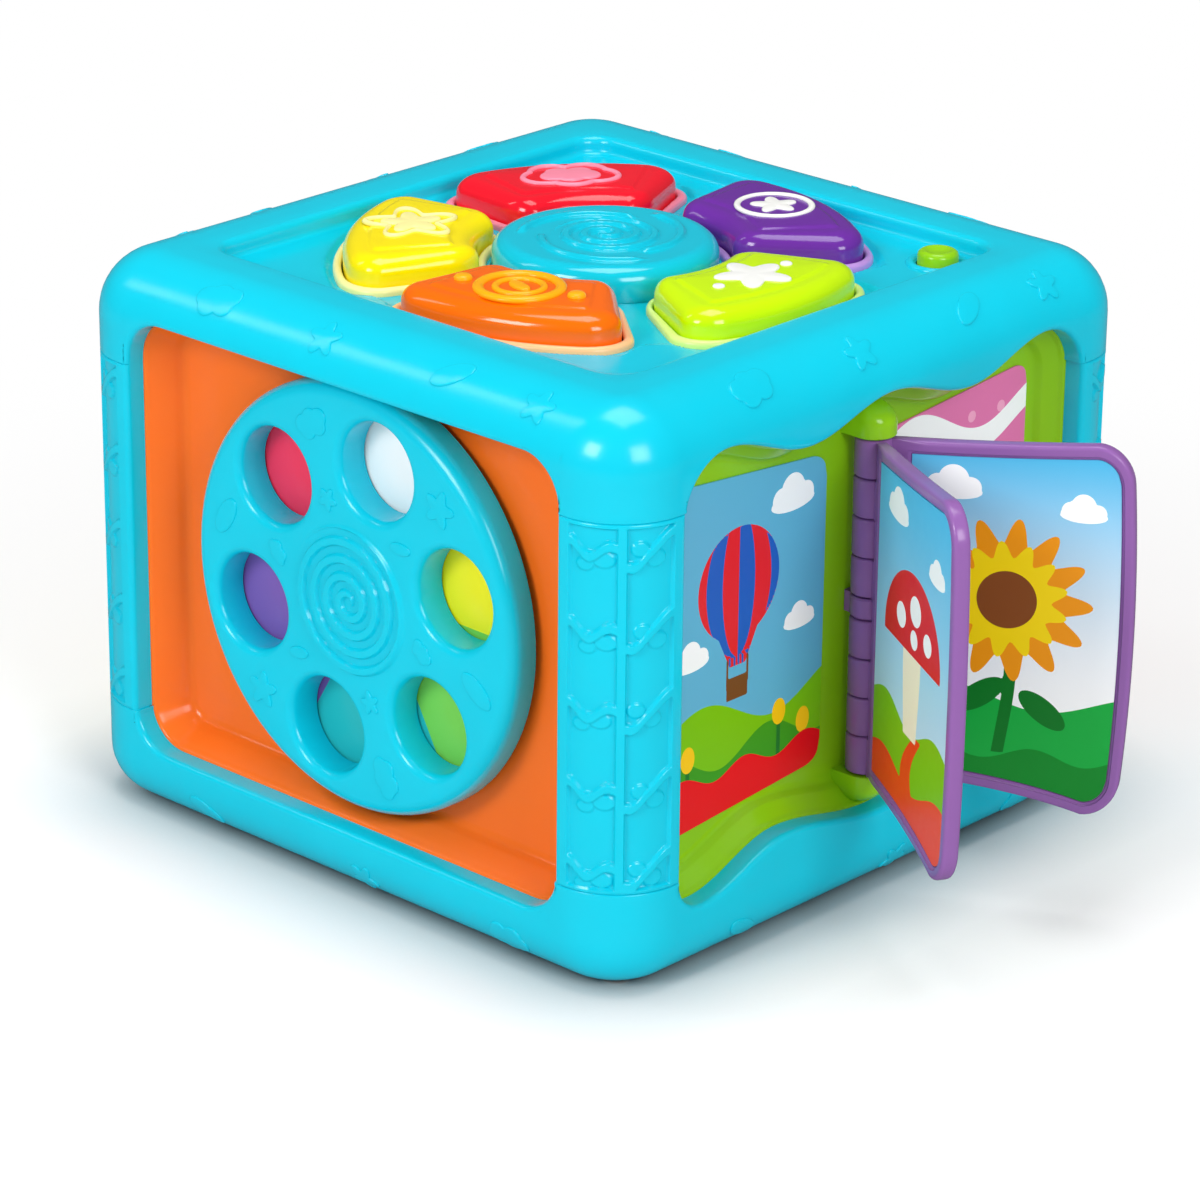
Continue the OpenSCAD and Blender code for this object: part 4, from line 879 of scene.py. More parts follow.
class CUBE_OT_posts(bpy.types.Operator):
    """Four corner posts with a trellis whose cells are sunk"""
    bl_idname = "activity_cube.posts"
    bl_label = "Corner posts"

    def execute(self, context):
        e = size("lip_round")
        end, lip = OPEN_HALF, HALF_W - LIP
        half = CORNER_R * np.pi / 4
        s = np.linspace(-half - (CORE - end) + e, half + (CORE - end) - e, 150)
        a = np.clip(s / CORNER_R, -np.pi / 4, np.pi / 4) - np.pi / 4
        over = s - np.clip(s, -half, half)
        nx, ny = np.cos(a), np.sin(a)
        x = CORE + CORNER_R * nx + np.minimum(over, 0.0)
        y = -CORE + CORNER_R * ny + np.maximum(over, 0.0)
        first = arc(end + e, -HALF_W + e, e, 180, 270, 6)[:-1]
        last = arc(HALF_W - e, -end - e, e, 0, 90, 6)[1:]
        inner = np.concatenate([[[lip, -end], [lip, -CORE], [HALF_W - WALL, -CORE]],
                                arc(CORE, -CORE, CORNER_R - WALL, 0, -90, 12)[1:-1],
                                [[CORE, -HALF_W + WALL], [CORE, -lip], [end, -lip]]])
        seam_r = 0.35
        z = np.concatenate([[SEAM_LOW, SEAM_LOW + seam_r], np.linspace(SEAM_LOW + 1.0, SEAM_HIGH - 1.0, 300),
                            [SEAM_HIGH - seam_r, SEAM_HIGH]])
        raise_by = size("post_relief") * (post_relief(s[None, :], z[:, None]) - 1.0)
        ends = np.where((z == SEAM_LOW) | (z == SEAM_HIGH), seam_r, 0.0)[:, None]
        px = x + nx * (raise_by - ends)
        py = y + ny * (raise_by - ends)
        skin = np.stack([px, py, np.broadcast_to(z[:, None], px.shape)], -1)

        def column(outline):
            """An outline repeated at every height."""
            flat = np.broadcast_to(outline[None], (len(z),) + outline.shape)
            return np.concatenate([flat, np.broadcast_to(z[:, None, None], flat.shape[:2] + (1,))], -1)

        rings = np.concatenate([column(first), skin, column(last), column(inner)], axis=1)
        parts = [loft(rings)]
        for k in (0, -1):
            parts.append(fill([rings[k, :, :2]], lambda f, h=z[k]: np.column_stack([f, np.full(len(f), h)])))
        for name, quarters in (("front", 0), ("right", 1), ("rear", 2), ("left", 3)):
            piece("post_%s_skin" % name, [turned(p, 90.0 * quarters) for p in parts], "housing",
                  ["corner_post_" + name], [finish("blue")], sharp=62.0)
        return {"FINISHED"}


# Side panels

def panel_rings(side, profile):
    """Rings of a panel from its profile of (growth of the opening's outline, depth)."""
    outlines = [opening_outline(side, g) for g, _ in profile]
    return [on_side(o[:, 0], p, o[:, 1], side) for o, (_, p) in zip(outlines, profile)]


def panel_profile(floor):
    """Profile of a panel: back, flange, lip, rounded shoulder, leaning wall and a fillet to the floor."""
    back = [(-SLOPE, floor + PANEL_T), (1.8, 9.0), (1.8, LIP + 0.05), (0.1, LIP + 0.05)]
    shoulder = [(-0.35, LIP + 0.15), (-0.75, LIP + 0.55), (-1.0, LIP + 1.1)]
    foot = [(-SLOPE + 1.2, floor - 2.6), (-SLOPE + 0.7, floor - 1.3), (-SLOPE - 0.2, floor - 0.45),
            (-SLOPE - 1.5, floor)]
    lean = np.linspace(shoulder[-1], foot[0], 8)[1:-1]
    return np.array(back + shoulder + lean.tolist() + foot)


def plain_panel(side, floor):
    """Closed panel with a flat floor."""
    return loft(panel_rings(side, panel_profile(floor)), on_side(0.0, floor + PANEL_T, OPEN_MID, side),
                on_side(0.0, floor, OPEN_MID, side))


class CUBE_OT_dial_side(bpy.types.Operator):
    """Dial panel, colour disc and finger dial"""
    bl_idname = "activity_cube.dial_side"
    bl_label = "Dial side"

    def execute(self, context):
        profile = panel_profile(FLOOR)
        rings = np.array(panel_rings(DIAL_SIDE, profile))
        middle = np.array([0.0, FLOOR - HALF_W, DIAL_Z])
        floor = np.array([middle + (rings[-1] - middle) * k for k in (0.9, 0.75, 0.5, 0.25)])
        rings = np.concatenate([rings, floor])
        room, slope, flange_rows = 1.5, 1.6, 3
        away = np.hypot(rings[..., 0], rings[..., 2] - DIAL_Z)
        sink = 1.0 - smooth((away - DIAL_R - room) / slope)
        front = np.arange(len(rings)) >= flange_rows
        y = rings[..., 1]
        rings[..., 1] = np.where(front[:, None], np.maximum(y, y + sink * (FLOOR - HALF_W - y)), y)
        piece("dial_panel_skin", [loft(rings, (0.0, FLOOR + PANEL_T - HALF_W, OPEN_MID), middle)], "housing",
              ["dial_panel"], [finish("orange")])
        self.colour_disc()
        self.dial()
        return {"FINISHED"}

    def colour_disc(self):
        """Flat printed ring in six sectors of 60 degrees, the first from -1 degree."""
        inks = ["disc_yellow", "disc_white", "disc_red", "disc_violet", "teal", "disc_green"]
        place = facing(0.0, DIAL_Z, DIAL_SIDE)
        hole, start, share, parts = 8.0, -1.0, 60.0, []
        for k in range(len(inks)):
            a = np.radians(np.linspace(start + share * k, start + share * (k + 1), 25))
            r, p = np.array([[hole, DISC_BACK], [DISC_R, DISC_BACK], [DISC_R, DISC_FRONT], [hole, DISC_FRONT],
                             [hole, DISC_BACK]]).T[:, :, None]
            parts.append(loft(place(r * np.cos(a), r * np.sin(a), p + 0 * a), closed=False) + (k,))
        piece("colour_disc_print", parts, "housing", ["colour_disc"],
              [finish(i) for i in inks])

    def dial(self):
        """Thick disc with a rounded edge, six flared finger holes, a raised spiral and small ornaments."""
        place = facing(0.0, DIAL_Z, DIAL_SIDE)
        front, back = DIAL_FRONT, DIAL_BACK
        edge, count, boss, share = 4.0, 240, 21.6, 360 / FINGER_COUNT
        rim = quarter(DIAL_R, front + edge, -edge, -edge, 9)
        profile = np.concatenate([[[DIAL_R - 1.0, back], [DIAL_R, back - 1.0]], rim])
        parts = [revolve(profile, place, count)]
        outer = circle(0, 0, DIAL_R - edge, count)
        outer_back = circle(0, 0, DIAL_R - 1.0, count)
        flare, holes, holes_back = 2.4, [], []
        for k in range(FINGER_COUNT):
            c = arc(0, 0, FINGER_PITCH_R, FINGER_TURN + share * k, FINGER_TURN + share * k, 1)[0]
            bore = np.concatenate([[[FINGER_R, back]], quarter(FINGER_R, front + flare, flare, -flare, 8)])
            parts.append(revolve(bore, facing(c[0], DIAL_Z + c[1], DIAL_SIDE), 72))
            holes.append(c + circle(0, 0, FINGER_R + flare, 72))
            holes_back.append(c + circle(0, 0, FINGER_R, 72))
        parts.append(fill([outer] + holes + [circle(0, 0, boss, count)], flat_at(place, front)))
        parts.append(fill([outer_back] + holes_back, flat_at(place, back)))
        r = np.linspace(boss, 0.4, 90)[:, None]
        a = np.linspace(0.0, 2.0 * np.pi, count, endpoint=False)
        relief = size("dial_relief") * self.spiral(r, a)
        parts.append(loft(place(r * np.cos(a), r * np.sin(a), front - relief), end=place(0.0, 0.0, front)))

        def lift(a, b, h):
            """Point at a height off the dial's front."""
            return place(a, b, front - h)

        pairs = ((blossom(5.2), leaf(3.6)), (puff(5.6), blossom(3.4)), (leaf(6.0), puff(3.6)))
        for k in range(FINGER_COUNT):
            at = math.radians(FINGER_TURN + share / 2 + share * k)
            for shape, reach, spin in zip(pairs[k % 3], (47.0, 27.0), (0.5, 1.1)):
                parts.append(emblem(shape, reach * math.cos(at), reach * math.sin(at), ORNAMENT_RISE, lift,
                                    spin * k))
        piece("dial_skin", parts, "dial", ["dial"], [finish("blue")], sharp=30.0)

    def spiral(self, r, a):
        """Height 0 to 1: a ridge on r = pitch (turns + angle / 360) that fades out past 19 mm."""
        pitch, half, soft, outer, inner = size("spiral_pitch"), 1.15, 0.7, 20.6, 0.8
        phase = (r / pitch - a / (2.0 * np.pi) + 0.35) % 1.0
        ridge = 1.0 - smooth((np.abs(phase - 0.5) * pitch - half) / soft + 0.5)
        return ridge * smooth((outer - r) / 1.6) * smooth(r - inner)


class CUBE_OT_book_side(bpy.types.Operator):
    """Book panel with its hinge lugs, and the spine clip"""
    bl_idname = "activity_cube.book_side"
    bl_label = "Book side"

    def execute(self, context):
        gap = 0.3
        parts = [plain_panel(BOOK_SIDE, BOOK_FLOOR), self.lug(SPINE_HIGH + gap, LUG_TOP),
                 self.lug(SPINE_LOW - gap, LUG_LOW)]
        piece("book_panel_skin", parts, "housing", ["book_panel"], [finish("lime")])
        low, high = span("spine_clip")
        edge, arm_r, inset = 0.5, 0.6, 0.05
        body = [[KNUCKLE_R - edge, low[2]], [KNUCKLE_R, low[2] + edge], [KNUCKLE_R, high[2] - edge],
                [KNUCKLE_R - edge, high[2]]]
        arm = rounded_box(HALF_W - BOOK_FLOOR, HINGE_X, low[1], high[1], arm_r, 6, 6, 4) * [1.0, 0.5]
        parts = [revolve(body, stand(HINGE_X, 0.0), 72, low[2], high[2]),
                 prism(arm, low[2] + inset, high[2] - inset)]
        piece("spine_clip_skin", parts, "housing", ["spine_clip"], [finish("purple")])
        return {"FINISHED"}

    def lug(self, z0, z1):
        """Hinge lug: a half-round front with straight sides back to the floor, and a dome at its far end.

        Towards the dome's top the outline shrinks by a cosine and leans back to the floor.
        """
        foot, dome, edge, lean = -7.5, 5.5, 0.3, 3.0
        front, sides = arc(0, 0, LUG_R, -90, 90, 25), [[foot, LUG_R], [foot, -LUG_R]]
        outline = np.concatenate([front, sides])
        rooted = np.arange(len(outline)) >= len(front)
        direction = 1.0 if z1 > z0 else -1.0
        t = np.linspace(0.0, np.pi / 2 * 0.97, 9)
        along = np.concatenate([[0.0, edge], abs(z1 - z0) - dome + dome * np.sin(t)])
        scale = np.concatenate([[0.96, 1.0], np.cos(t)])
        rings = []
        for a, s in zip(along, scale):
            x = HINGE_X + np.where(rooted, foot, outline[:, 0] * s - lean * (1 - s))
            y = outline[:, 1] * (0.25 + 0.75 * s)
            rings.append(np.column_stack([x, y, np.full(len(outline), z0 + direction * a)]))
        return loft(rings, (HINGE_X - lean, 0.0, z0), (HINGE_X - 5.0, 0.0, z1))


# Pages and prints

def page_low(r):
    """Lower edge of a page over distance from the hinge: it dips towards the free edge."""
    return SPINE_LOW + 0.5 - PAGE_FLARE_LOW * (np.maximum(r, 0.0) / PAGE_REACH) ** 2.5


def page_high(r):
    """Upper edge of a page over distance from the hinge: it rises towards the free edge."""
    return SPINE_HIGH - 0.3 + PAGE_FLARE_TOP * (np.maximum(r, 0.0) / PAGE_REACH) ** 1.5


def bulged(r, z):
    """Distance from the hinge, drawn in towards the ends of the free edge so that the edge bulges."""
    return r - PAGE_BULGE * (np.maximum(r, 0.0) / PAGE_REACH) ** 4 * ((z - PAGE_MID) / PAGE_HALF) ** 2


def page_outline(r0, g):
    """Outline of a page, from distance r0, set in by g, with rounded free corners and a bulging free edge."""
    r1, c = PAGE_REACH - g, max(1.0, PAGE_R - g)
    bend = r1 - c
    r = np.linspace(r0, bend, 30)
    low, high = page_low(bend) + g, page_high(bend) - g
    points = np.concatenate([
        np.column_stack([r, page_low(r) + g])[:-1], arc(bend, low + c, c, -90, 0, 12),
        between((r1, low + c), (r1, high - c), 30), arc(bend, high - c, c, 0, 90, 12),
        np.column_stack([r, page_high(r) - g])[::-1][1:],
        between((r0, page_high(r0) - g), (r0, page_low(r0) + g), 30)])
    return np.column_stack([bulged(points[:, 0], points[:, 1]), points[:, 1]])


def page_limit(r):
    """Half thickness of a page over distance from the hinge: it grows from the web's to the frame's."""
    share = np.clip((r - PAGE_START) / (PAGE_FULL - PAGE_START), 0.0, 1.0)
    return WEB_HALF_T + (PAGE_HALF_T - WEB_HALF_T) * share


def on_page(r, h, z, side):
    """Points at a page's rest angle from distance along it, height off its middle and height above ground."""
    r, h, z = np.broadcast_arrays(np.asarray(r, float), np.asarray(h, float), np.asarray(z, float))
    a = math.radians(PAGE_TURN[side])
    return np.stack([HINGE_X + r * math.cos(a) - h * math.sin(a), r * math.sin(a) + h * math.cos(a), z], -1)


class CUBE_OT_pages(bpy.types.Operator):
    """Two hinged pages: a rounded frame bead round a thin plate, with knuckles on the pin"""
    bl_idname = "activity_cube.pages"
    bl_label = "Pages"

    def execute(self, context):
        for side, first in (("left", 0), ("right", 1)):
            piece("page_%s_skin" % side, self.page(side) + self.knuckles(side, first), "page_" + side,
                  ["page_" + side], [finish("purple")])
        return {"FINISHED"}

    def page(self, side):
        """Frame bead carried round the page's outline. Towards the hinge its thickness falls to the web's."""
        e = size("page_edge")
        t = np.linspace(0.0, np.pi / 2, 6)
        foot, draft, inner_r = 0.35, 0.15, 0.75
        half = [(PAGE_FRAME, PLATE_HALF_T), (PAGE_FRAME - draft, PLATE_HALF_T + foot)]
        half += [(PAGE_FRAME - draft - inner_r * math.sin(a),
                  PLATE_HALF_T + foot + inner_r * (1 - math.cos(a))) for a in t[1:]]
        half += [(e * (1 - math.sin(a)), PAGE_HALF_T - e * (1 - math.cos(a))) for a in t]
        section = half + [(g, -h) for g, h in half[::-1]]
        rings = []
        for g, h in section:
            o = page_outline(PAGE_START + g * (PLATE_START - PAGE_START) / PAGE_FRAME, g)
            limit = page_limit(o[:, 0])
            rings.append(on_page(o[:, 0], np.clip(h, -limit, limit), o[:, 1], side))
        parts = [loft(rings)]
        o = page_outline(PLATE_START, PAGE_FRAME)
        for h in (PLATE_HALF_T, -PLATE_HALF_T):
            parts.append(fill([o], lambda f, h=h: on_page(
                f[:, 0], np.clip(h, -page_limit(f[:, 0]), page_limit(f[:, 0])), f[:, 1], side)))
        return parts

    def knuckles(self, side, first):
        """Every second barrel on the pin, with a short web out to the page."""
        gap, e, web_mid, parts = 0.3, 0.6, 5.5, []
        web = rounded_box(3.6, PAGE_START + 0.8, -WEB_HALF_T, WEB_HALF_T, 0.2, 2, 2, 3)
        for i in range(first, 8, 2):
            z0 = SPINE_LOW + KNUCKLE_PITCH * i + (CLIP_ROOM if i >= 4 else 0.0) + gap / 2
            z1 = z0 + KNUCKLE_PITCH - gap
            body = [[KNUCKLE_R - e, z0], [KNUCKLE_R - 0.2, z0 + 0.2], [KNUCKLE_R, z0 + e],
                    [KNUCKLE_R, z1 - e], [KNUCKLE_R - 0.2, z1 - 0.2], [KNUCKLE_R - e, z1]]
            parts.append(revolve(body, stand(HINGE_X, 0.0), 72, z0, z1))
            low, high = z0 + 0.1, z1 - 0.1
            parts.append(loft([on_page(web[:, 0], web[:, 1], z, side) for z in (low, high)],
                              on_page(web_mid, 0.0, low, side), on_page(web_mid, 0.0, high, side)))
        return parts


# Motifs: signed distances in millimetres over a print, x along it and y up

def disc(x, y, cx, cy, r):
    """Distance outside a circle."""
    return np.hypot(x - cx, y - cy) - r


def oval(x, y, cx, cy, a, b):
    """Distance outside an ellipse, as its level scaled by the mean radius."""
    return (np.hypot((x - cx) / a, (y - cy) / b) - 1.0) * math.sqrt(a * b)


def bar(x, y, x0, y0, x1, y1, half):
    """Distance outside a thick line with round ends."""
    dx, dy = x1 - x0, y1 - y0
    t = np.clip(((x - x0) * dx + (y - y0) * dy) / (dx * dx + dy * dy), 0.0, 1.0)
    return np.hypot(x - x0 - t * dx, y - y0 - t * dy) - half


def petals(x, y, cx, cy, r, depth, count, start=0.0):
    """Distance outside a round with a number of lobes."""
    a = np.arctan2(y - cy, x - cx)
    return np.hypot(x - cx, y - cy) - r - depth * np.cos(count * a + start)


def cloud(x, y, cx, cy, s):
    """Distance outside a cloud: three discs over a flat oval."""
    return np.minimum.reduce([
        disc(x, y, cx - 0.8 * s, cy, 0.6 * s), disc(x, y, cx, cy + 0.35 * s, 0.8 * s),
        disc(x, y, cx + 0.9 * s, cy, 0.55 * s), oval(x, y, cx, cy - 0.25 * s, 1.5 * s, 0.45 * s)])


def star(x, y, cx, cy, r):
    """Distance outside a soft five-pointed star."""
    a = np.arctan2(y - cy, x - cx) - np.pi / 2
    near = np.abs((a + np.pi / 5) % (2 * np.pi / 5) - np.pi / 5)
    return np.hypot(x - cx, y - cy) - r * (1.0 - 0.52 * smooth(near / (np.pi / 5)))


def balloon_scene(x, y, w, h):
    """Hot-air balloon over round hills with a red border below."""
    cx, cy, r = 0.44 * w, 0.67 * h, 0.26 * w
    neck = np.maximum(np.abs(x - cx) - 0.62 * r + 0.5 * (cy - y - 0.6 * r),
                      np.maximum(y - cy, cy - 1.45 * r - y))
    body = np.minimum(disc(x, y, cx, cy, r), neck)
    gore = np.abs(((x - cx) / np.sqrt(np.maximum(r * r - (y - cy) ** 2 * 0.6, 4.0)) * 2.5 + 0.5) % 2.0 - 1.0)
    hill = y - 0.3 * h - 0.05 * h * np.sin(2.2 * np.pi * x / w)
    near_hill = y - 0.19 * h - 0.04 * h * np.sin(3.1 * np.pi * x / w + 1.5)
    ground = y - 0.14 * h - 0.02 * h * np.sin(5 * np.pi * x / w)
    basket = np.maximum(np.abs(x - cx) - 0.26 * r, np.abs(y - cy + 1.85 * r) - 0.2 * r)
    ropes = np.maximum(np.abs(np.abs(x - cx) - 0.25 * r) - 0.4, np.abs(y - cy + 1.55 * r) - 0.25 * r)
    spots = ((0.13, 0), (0.72, 3), (0.88, -2))
    tulip = np.minimum.reduce([oval(x, y, k * w, 0.215 * h + d, 2.6, 3.6) for k, d in spots])
    stems = np.minimum.reduce([bar(x, y, k * w, 0.1 * h, k * w, 0.2 * h + d, 0.7) for k, d in spots])
    sky = np.minimum.reduce([cloud(x, y, 0.78 * w, 0.86 * h, 5.5), cloud(x, y, 0.14 * w, 0.5 * h, 4.5),
                             cloud(x, y, 0.84 * w, 0.5 * h, 4.0)])
    return "#62B4D6", [("#FFFFFF", sky), ("#7CC40C", hill), ("#3E9E1E", near_hill), ("#1F7A2C", stems),
                       ("#FFCB12", tulip), ("#E8202A", body), ("#1F5FBF", np.maximum(body, gore - 0.5)),
                       ("#7A4A24", np.minimum(basket, ropes)), ("#EE0A14", ground)]


def toadstool_scene(x, y, w, h):
    """Red toadstool on a meadow with a winding path."""
    cx, cy = 0.5 * w, 0.52 * h
    cap = np.maximum(oval(x, y, cx, cy, 0.38 * w, 0.22 * h), cy - 0.015 * h - y)
    stem = np.abs(x - cx) - 0.1 * w - 0.02 * w * np.cos((y - cy) / h * 9.0)
    stem = np.maximum(stem, np.abs(y - cy + 0.13 * h) - 0.13 * h)
    dots = np.minimum.reduce([disc(x, y, cx + a * w, cy + b * h, r) for a, b, r in (
        (-0.16, 0.07, 3.4), (0.03, 0.12, 4.0), (0.2, 0.06, 3.0), (0.02, 0.035, 2.6))])
    meadow = y - 0.3 * h - 0.03 * h * np.sin(3 * np.pi * x / w)
    path = np.abs(x - 0.62 * w + 0.16 * w * np.sin(y / h * 11.0)) - 0.07 * w * (1.3 - 2.2 * y / h)
    path = np.maximum(path, y - 0.28 * h)
    sky = np.minimum(cloud(x, y, 0.26 * w, 0.88 * h, 5.0), cloud(x, y, 0.8 * w, 0.8 * h, 4.0))
    low = y - 0.13 * h - 0.03 * h * np.sin(2.6 * np.pi * x / w + 0.4)
    return "#48BEEA", [("#FFFFFF", "fade_low", 0.55 * smooth(1.1 - y / h)), ("#FFFFFF", sky),
                       ("#83C31A", meadow), ("#F5441A", np.minimum(path, low)), ("#FFF1D6", stem),
                       ("#E3101C", cap), ("#FFFFFF", dots)]


def flower_scene(x, y, w, h):
    """One large sunflower under a sky that fades to white."""
    cx, cy, r = 0.47 * w, 0.56 * h, 0.34 * w
    bloom = petals(x, y, cx, cy, r, 0.2 * r, 13)
    inner = petals(x, y, cx, cy, 0.74 * r, 0.12 * r, 13, np.pi)
    eye = disc(x, y, cx, cy, 0.42 * r)
    stem = np.abs(x - cx - 0.03 * w * np.sin((cy - y) / h * 8.0)) - 1.6
    stem = np.maximum(stem, np.maximum(y - cy, 0.1 * h - y))
    leaves = np.minimum(
        oval(x * 0.8 + y * 0.6, y * 0.8 - x * 0.6, 0.8 * 0.36 * w + 0.6 * 0.27 * h,
             0.8 * 0.27 * h - 0.6 * 0.36 * w, 7.5, 3.2),
        oval(x * 0.8 - y * 0.6, y * 0.8 + x * 0.6, 0.8 * 0.66 * w - 0.6 * 0.24 * h,
             0.8 * 0.24 * h + 0.6 * 0.66 * w, 7.5, 3.2))
    ground = y - 0.27 * h - 0.035 * h * np.sin(2 * np.pi * x / w + 0.6)
    low = y - 0.1 * h - 0.02 * h * np.sin(4 * np.pi * x / w)
    sky = np.minimum(cloud(x, y, 0.2 * w, 0.88 * h, 5.0), cloud(x, y, 0.82 * w, 0.84 * h, 4.2))
    return "#18B2E4", [("#FFFFFF", "fade_low", smooth(1.25 - 1.1 * y / h)), ("#FFFFFF", sky),
                       ("#14AE42", ground), ("#0B7A26", np.minimum(stem, leaves)), ("#F79A0E", bloom),
                       ("#FFDD0A", inner), ("#8A4B1F", eye), ("#0E8C2C", low)]


def wave_scene(x, y, w, h):
    """Pink ground with a white wavy band and dots."""
    band = np.abs(y - 0.87 * h - 0.05 * h * np.sin(2.2 * np.pi * x / w)) - 0.035 * h
    dots = np.hypot((x + 6.0) % 12.0 - 6.0, (y + 6.0) % 12.0 - 6.0) - 1.6
    low = y - 0.2 * h - 0.05 * h * np.sin(2.4 * np.pi * x / w + 1.0)
    return "#E879B0", [("#F9A9CB", dots), ("#FFFFFF", band), ("#8CC63F", low)]


def night_scene(x, y, w, h):
    """Night sky with a crescent and stars over hills."""
    moon = np.maximum(disc(x, y, 0.6 * w, 0.72 * h, 10.0), -disc(x, y, 0.68 * w, 0.77 * h, 9.0))
    stars = np.minimum.reduce([star(x, y, a * w, b * h, s) for a, b, s in (
        (0.2, 0.84, 4.2), (0.34, 0.6, 3.2), (0.82, 0.52, 3.0), (0.16, 0.45, 2.6), (0.5, 0.42, 2.4))])
    hill = y - 0.24 * h - 0.05 * h * np.sin(2 * np.pi * x / w)
    return "#28408C", [("#FFE98A", np.minimum(moon, stars)), ("#3C6E3A", hill)]


def boat_scene(x, y, w, h):
    """Sailing boat on waves."""
    cx = 0.5 * w
    sail = np.maximum(np.maximum(cx + 1.0 - x, 0.36 * h - y), (x - cx) / 22.0 * 30.0 + (y - 0.36 * h) - 30.0)
    jib = np.maximum(np.maximum(x - cx + 1.5, 0.36 * h - y), (cx - x) / 15.0 * 24.0 + (y - 0.36 * h) - 24.0)
    hull = np.maximum(np.maximum(y - 0.34 * h, 0.24 * h - y), np.abs(x - cx) - 19.0 - (y - 0.3 * h) * 0.7)
    sea = y - 0.26 * h - 1.6 * np.abs(np.sin(np.pi * x / 11.0))
    deep = y - 0.14 * h - 1.6 * np.abs(np.sin(np.pi * x / 11.0 + 0.8))
    sky = np.minimum(cloud(x, y, 0.22 * w, 0.86 * h, 5.0), cloud(x, y, 0.8 * w, 0.78 * h, 4.2))
    return "#CDEBFA", [("#FFFFFF", sky), ("#FFFFFF", sail), ("#F7A81E", jib), ("#D8232A", hull),
                       ("#3FA9DC", sea), ("#2280BC", deep)]


class CUBE_OT_prints(bpy.types.Operator):
    """Printed films on the pages and on the panel behind them"""
    bl_idname = "activity_cube.prints"
    bl_label = "Prints"

    def execute(self, context):
        s, t = np.meshgrid(np.linspace(0.0, 1.0, 86), np.linspace(0.0, 1.0, 130), indexing="ij")
        self.page_films(s, t)
        self.panel_films(s, t)
        return {"FINISHED"}

    def page_films(self, s, t):
        """Films on both faces of each page, inside its frame, from the hinge (s = 0) to the free edge."""
        g, r0 = PAGE_FRAME + PRINT_GAP, PLATE_START + PRINT_GAP
        r1, c = PAGE_REACH - g, PAGE_R - g
        r = r0 + (r1 - r0) * s
        bend = r1 - c
        round_off = c - np.sqrt(np.maximum(c * c - np.maximum(r - bend, 0.0) ** 2, 0.0))
        low = page_low(np.minimum(r, bend)) + g + round_off
        high = page_high(np.minimum(r, bend)) - g - round_off
        z = low + (high - low) * t
        scenes = {("left", "outer"): toadstool_scene, ("right", "inner"): flower_scene,
                  ("left", "inner"): night_scene, ("right", "outer"): boat_scene}
        for (side, face), scene in scenes.items():
            up = (1.0 if face == "inner" else -1.0) * (1.0 if side == "left" else -1.0)
            x = (r - r0) if (side == "right") == (face == "inner") else (r1 - r)
            front = on_page(bulged(r, z), up * (PLATE_HALF_T + PRINT_T), z, side)
            back = on_page(bulged(r, z), up * PLATE_HALF_T, z, side)
            art = scene(x, z - page_low(r0), r1 - r0, page_high(r0) - page_low(r0))
            self.film("page_%s_%s_print" % (side, face), front, back, art, "page_" + side)

    def panel_films(self, s, t):
        """Films on the panel on both sides of the spine, taller at their outer edge, with soft corners."""
        for side, scene in (("left", balloon_scene), ("right", wave_scene)):
            low_box, high_box = span("panel_print_" + side)
            inner, outer = sorted(np.abs([low_box[1], high_box[1]]))
            u = inner + (outer - inner) * s
            flare = s * PANEL_PRINT_FLARE
            edge = np.minimum(np.minimum(u - inner, outer - u) / PANEL_PRINT_CORNER, 1.0)
            soft = PANEL_PRINT_CORNER * (1.0 - np.sqrt(edge)) ** 2
            low, high = PANEL_PRINT_LOW - flare + soft, PANEL_PRINT_HIGH + flare - soft
            z = low + (high - low) * t
            sign = -1.0 if side == "left" else 1.0
            x = u - inner if side == "right" else outer - u
            front = on_side(sign * u, BOOK_FLOOR - PRINT_T, z, BOOK_SIDE)
            back = on_side(sign * u, BOOK_FLOOR, z, BOOK_SIDE)
            foot = PANEL_PRINT_LOW - PANEL_PRINT_FLARE
            tall = PANEL_PRINT_HIGH - PANEL_PRINT_LOW + 2 * PANEL_PRINT_FLARE
            self.film("panel_print_" + side, front, back, scene(x, z - foot, outer - inner, tall), "housing")

    def film(self, name, front, back, art, body):
        """Thin film between two grids, with each motif's distance stored on its points."""
        ground, layers = art
        fields, inks = {}, []
        for k, layer in enumerate(layers):
            key = layer[1] if len(layer) == 3 else "ink_%d" % k
            values = np.broadcast_to(layer[-1], front.shape[:2]).ravel()
            fields[key] = np.concatenate([values, values])
            inks.append((layer[0], key))
        piece(name + "_film", [slab(front, back)], body, [name],
              [printed("printed film, " + name.replace("_", " "), ground, inks)], fields=fields, weld=False)


# Buttons

def fan_outline(g):
    """Outline of a fan button grown by g: a rounded box bent round the cube's axis."""
    half = math.radians(FAN_HALF_ANGLE) * FAN_MID + g
    box = rounded_box(-half, half, FAN_IN - g, FAN_OUT + g, max(1.0, FAN_R + g), 36, 20, 12)
    a = box[:, 0] / FAN_MID
    return np.stack([box[:, 1] * np.cos(a), -box[:, 1] * np.sin(a)], -1)


def stack(outlines, heights):
    """Rings of outlines at heights."""
    return [np.column_stack([o, np.full(len(o), h)]) for o, h in zip(outlines, heights)]


# Finish and slot of each fan cap, and its trim
FAN_LOOKS = {"orange": ("cap_orange", "orange", "peach"), "green": ("cap_lime", "lime", "lime"),
             "purple": ("cap_purple", "purple", "lilac"), "red": ("red", "red", "pink"),
             "yellow": ("yellow", "yellow", "straw")}


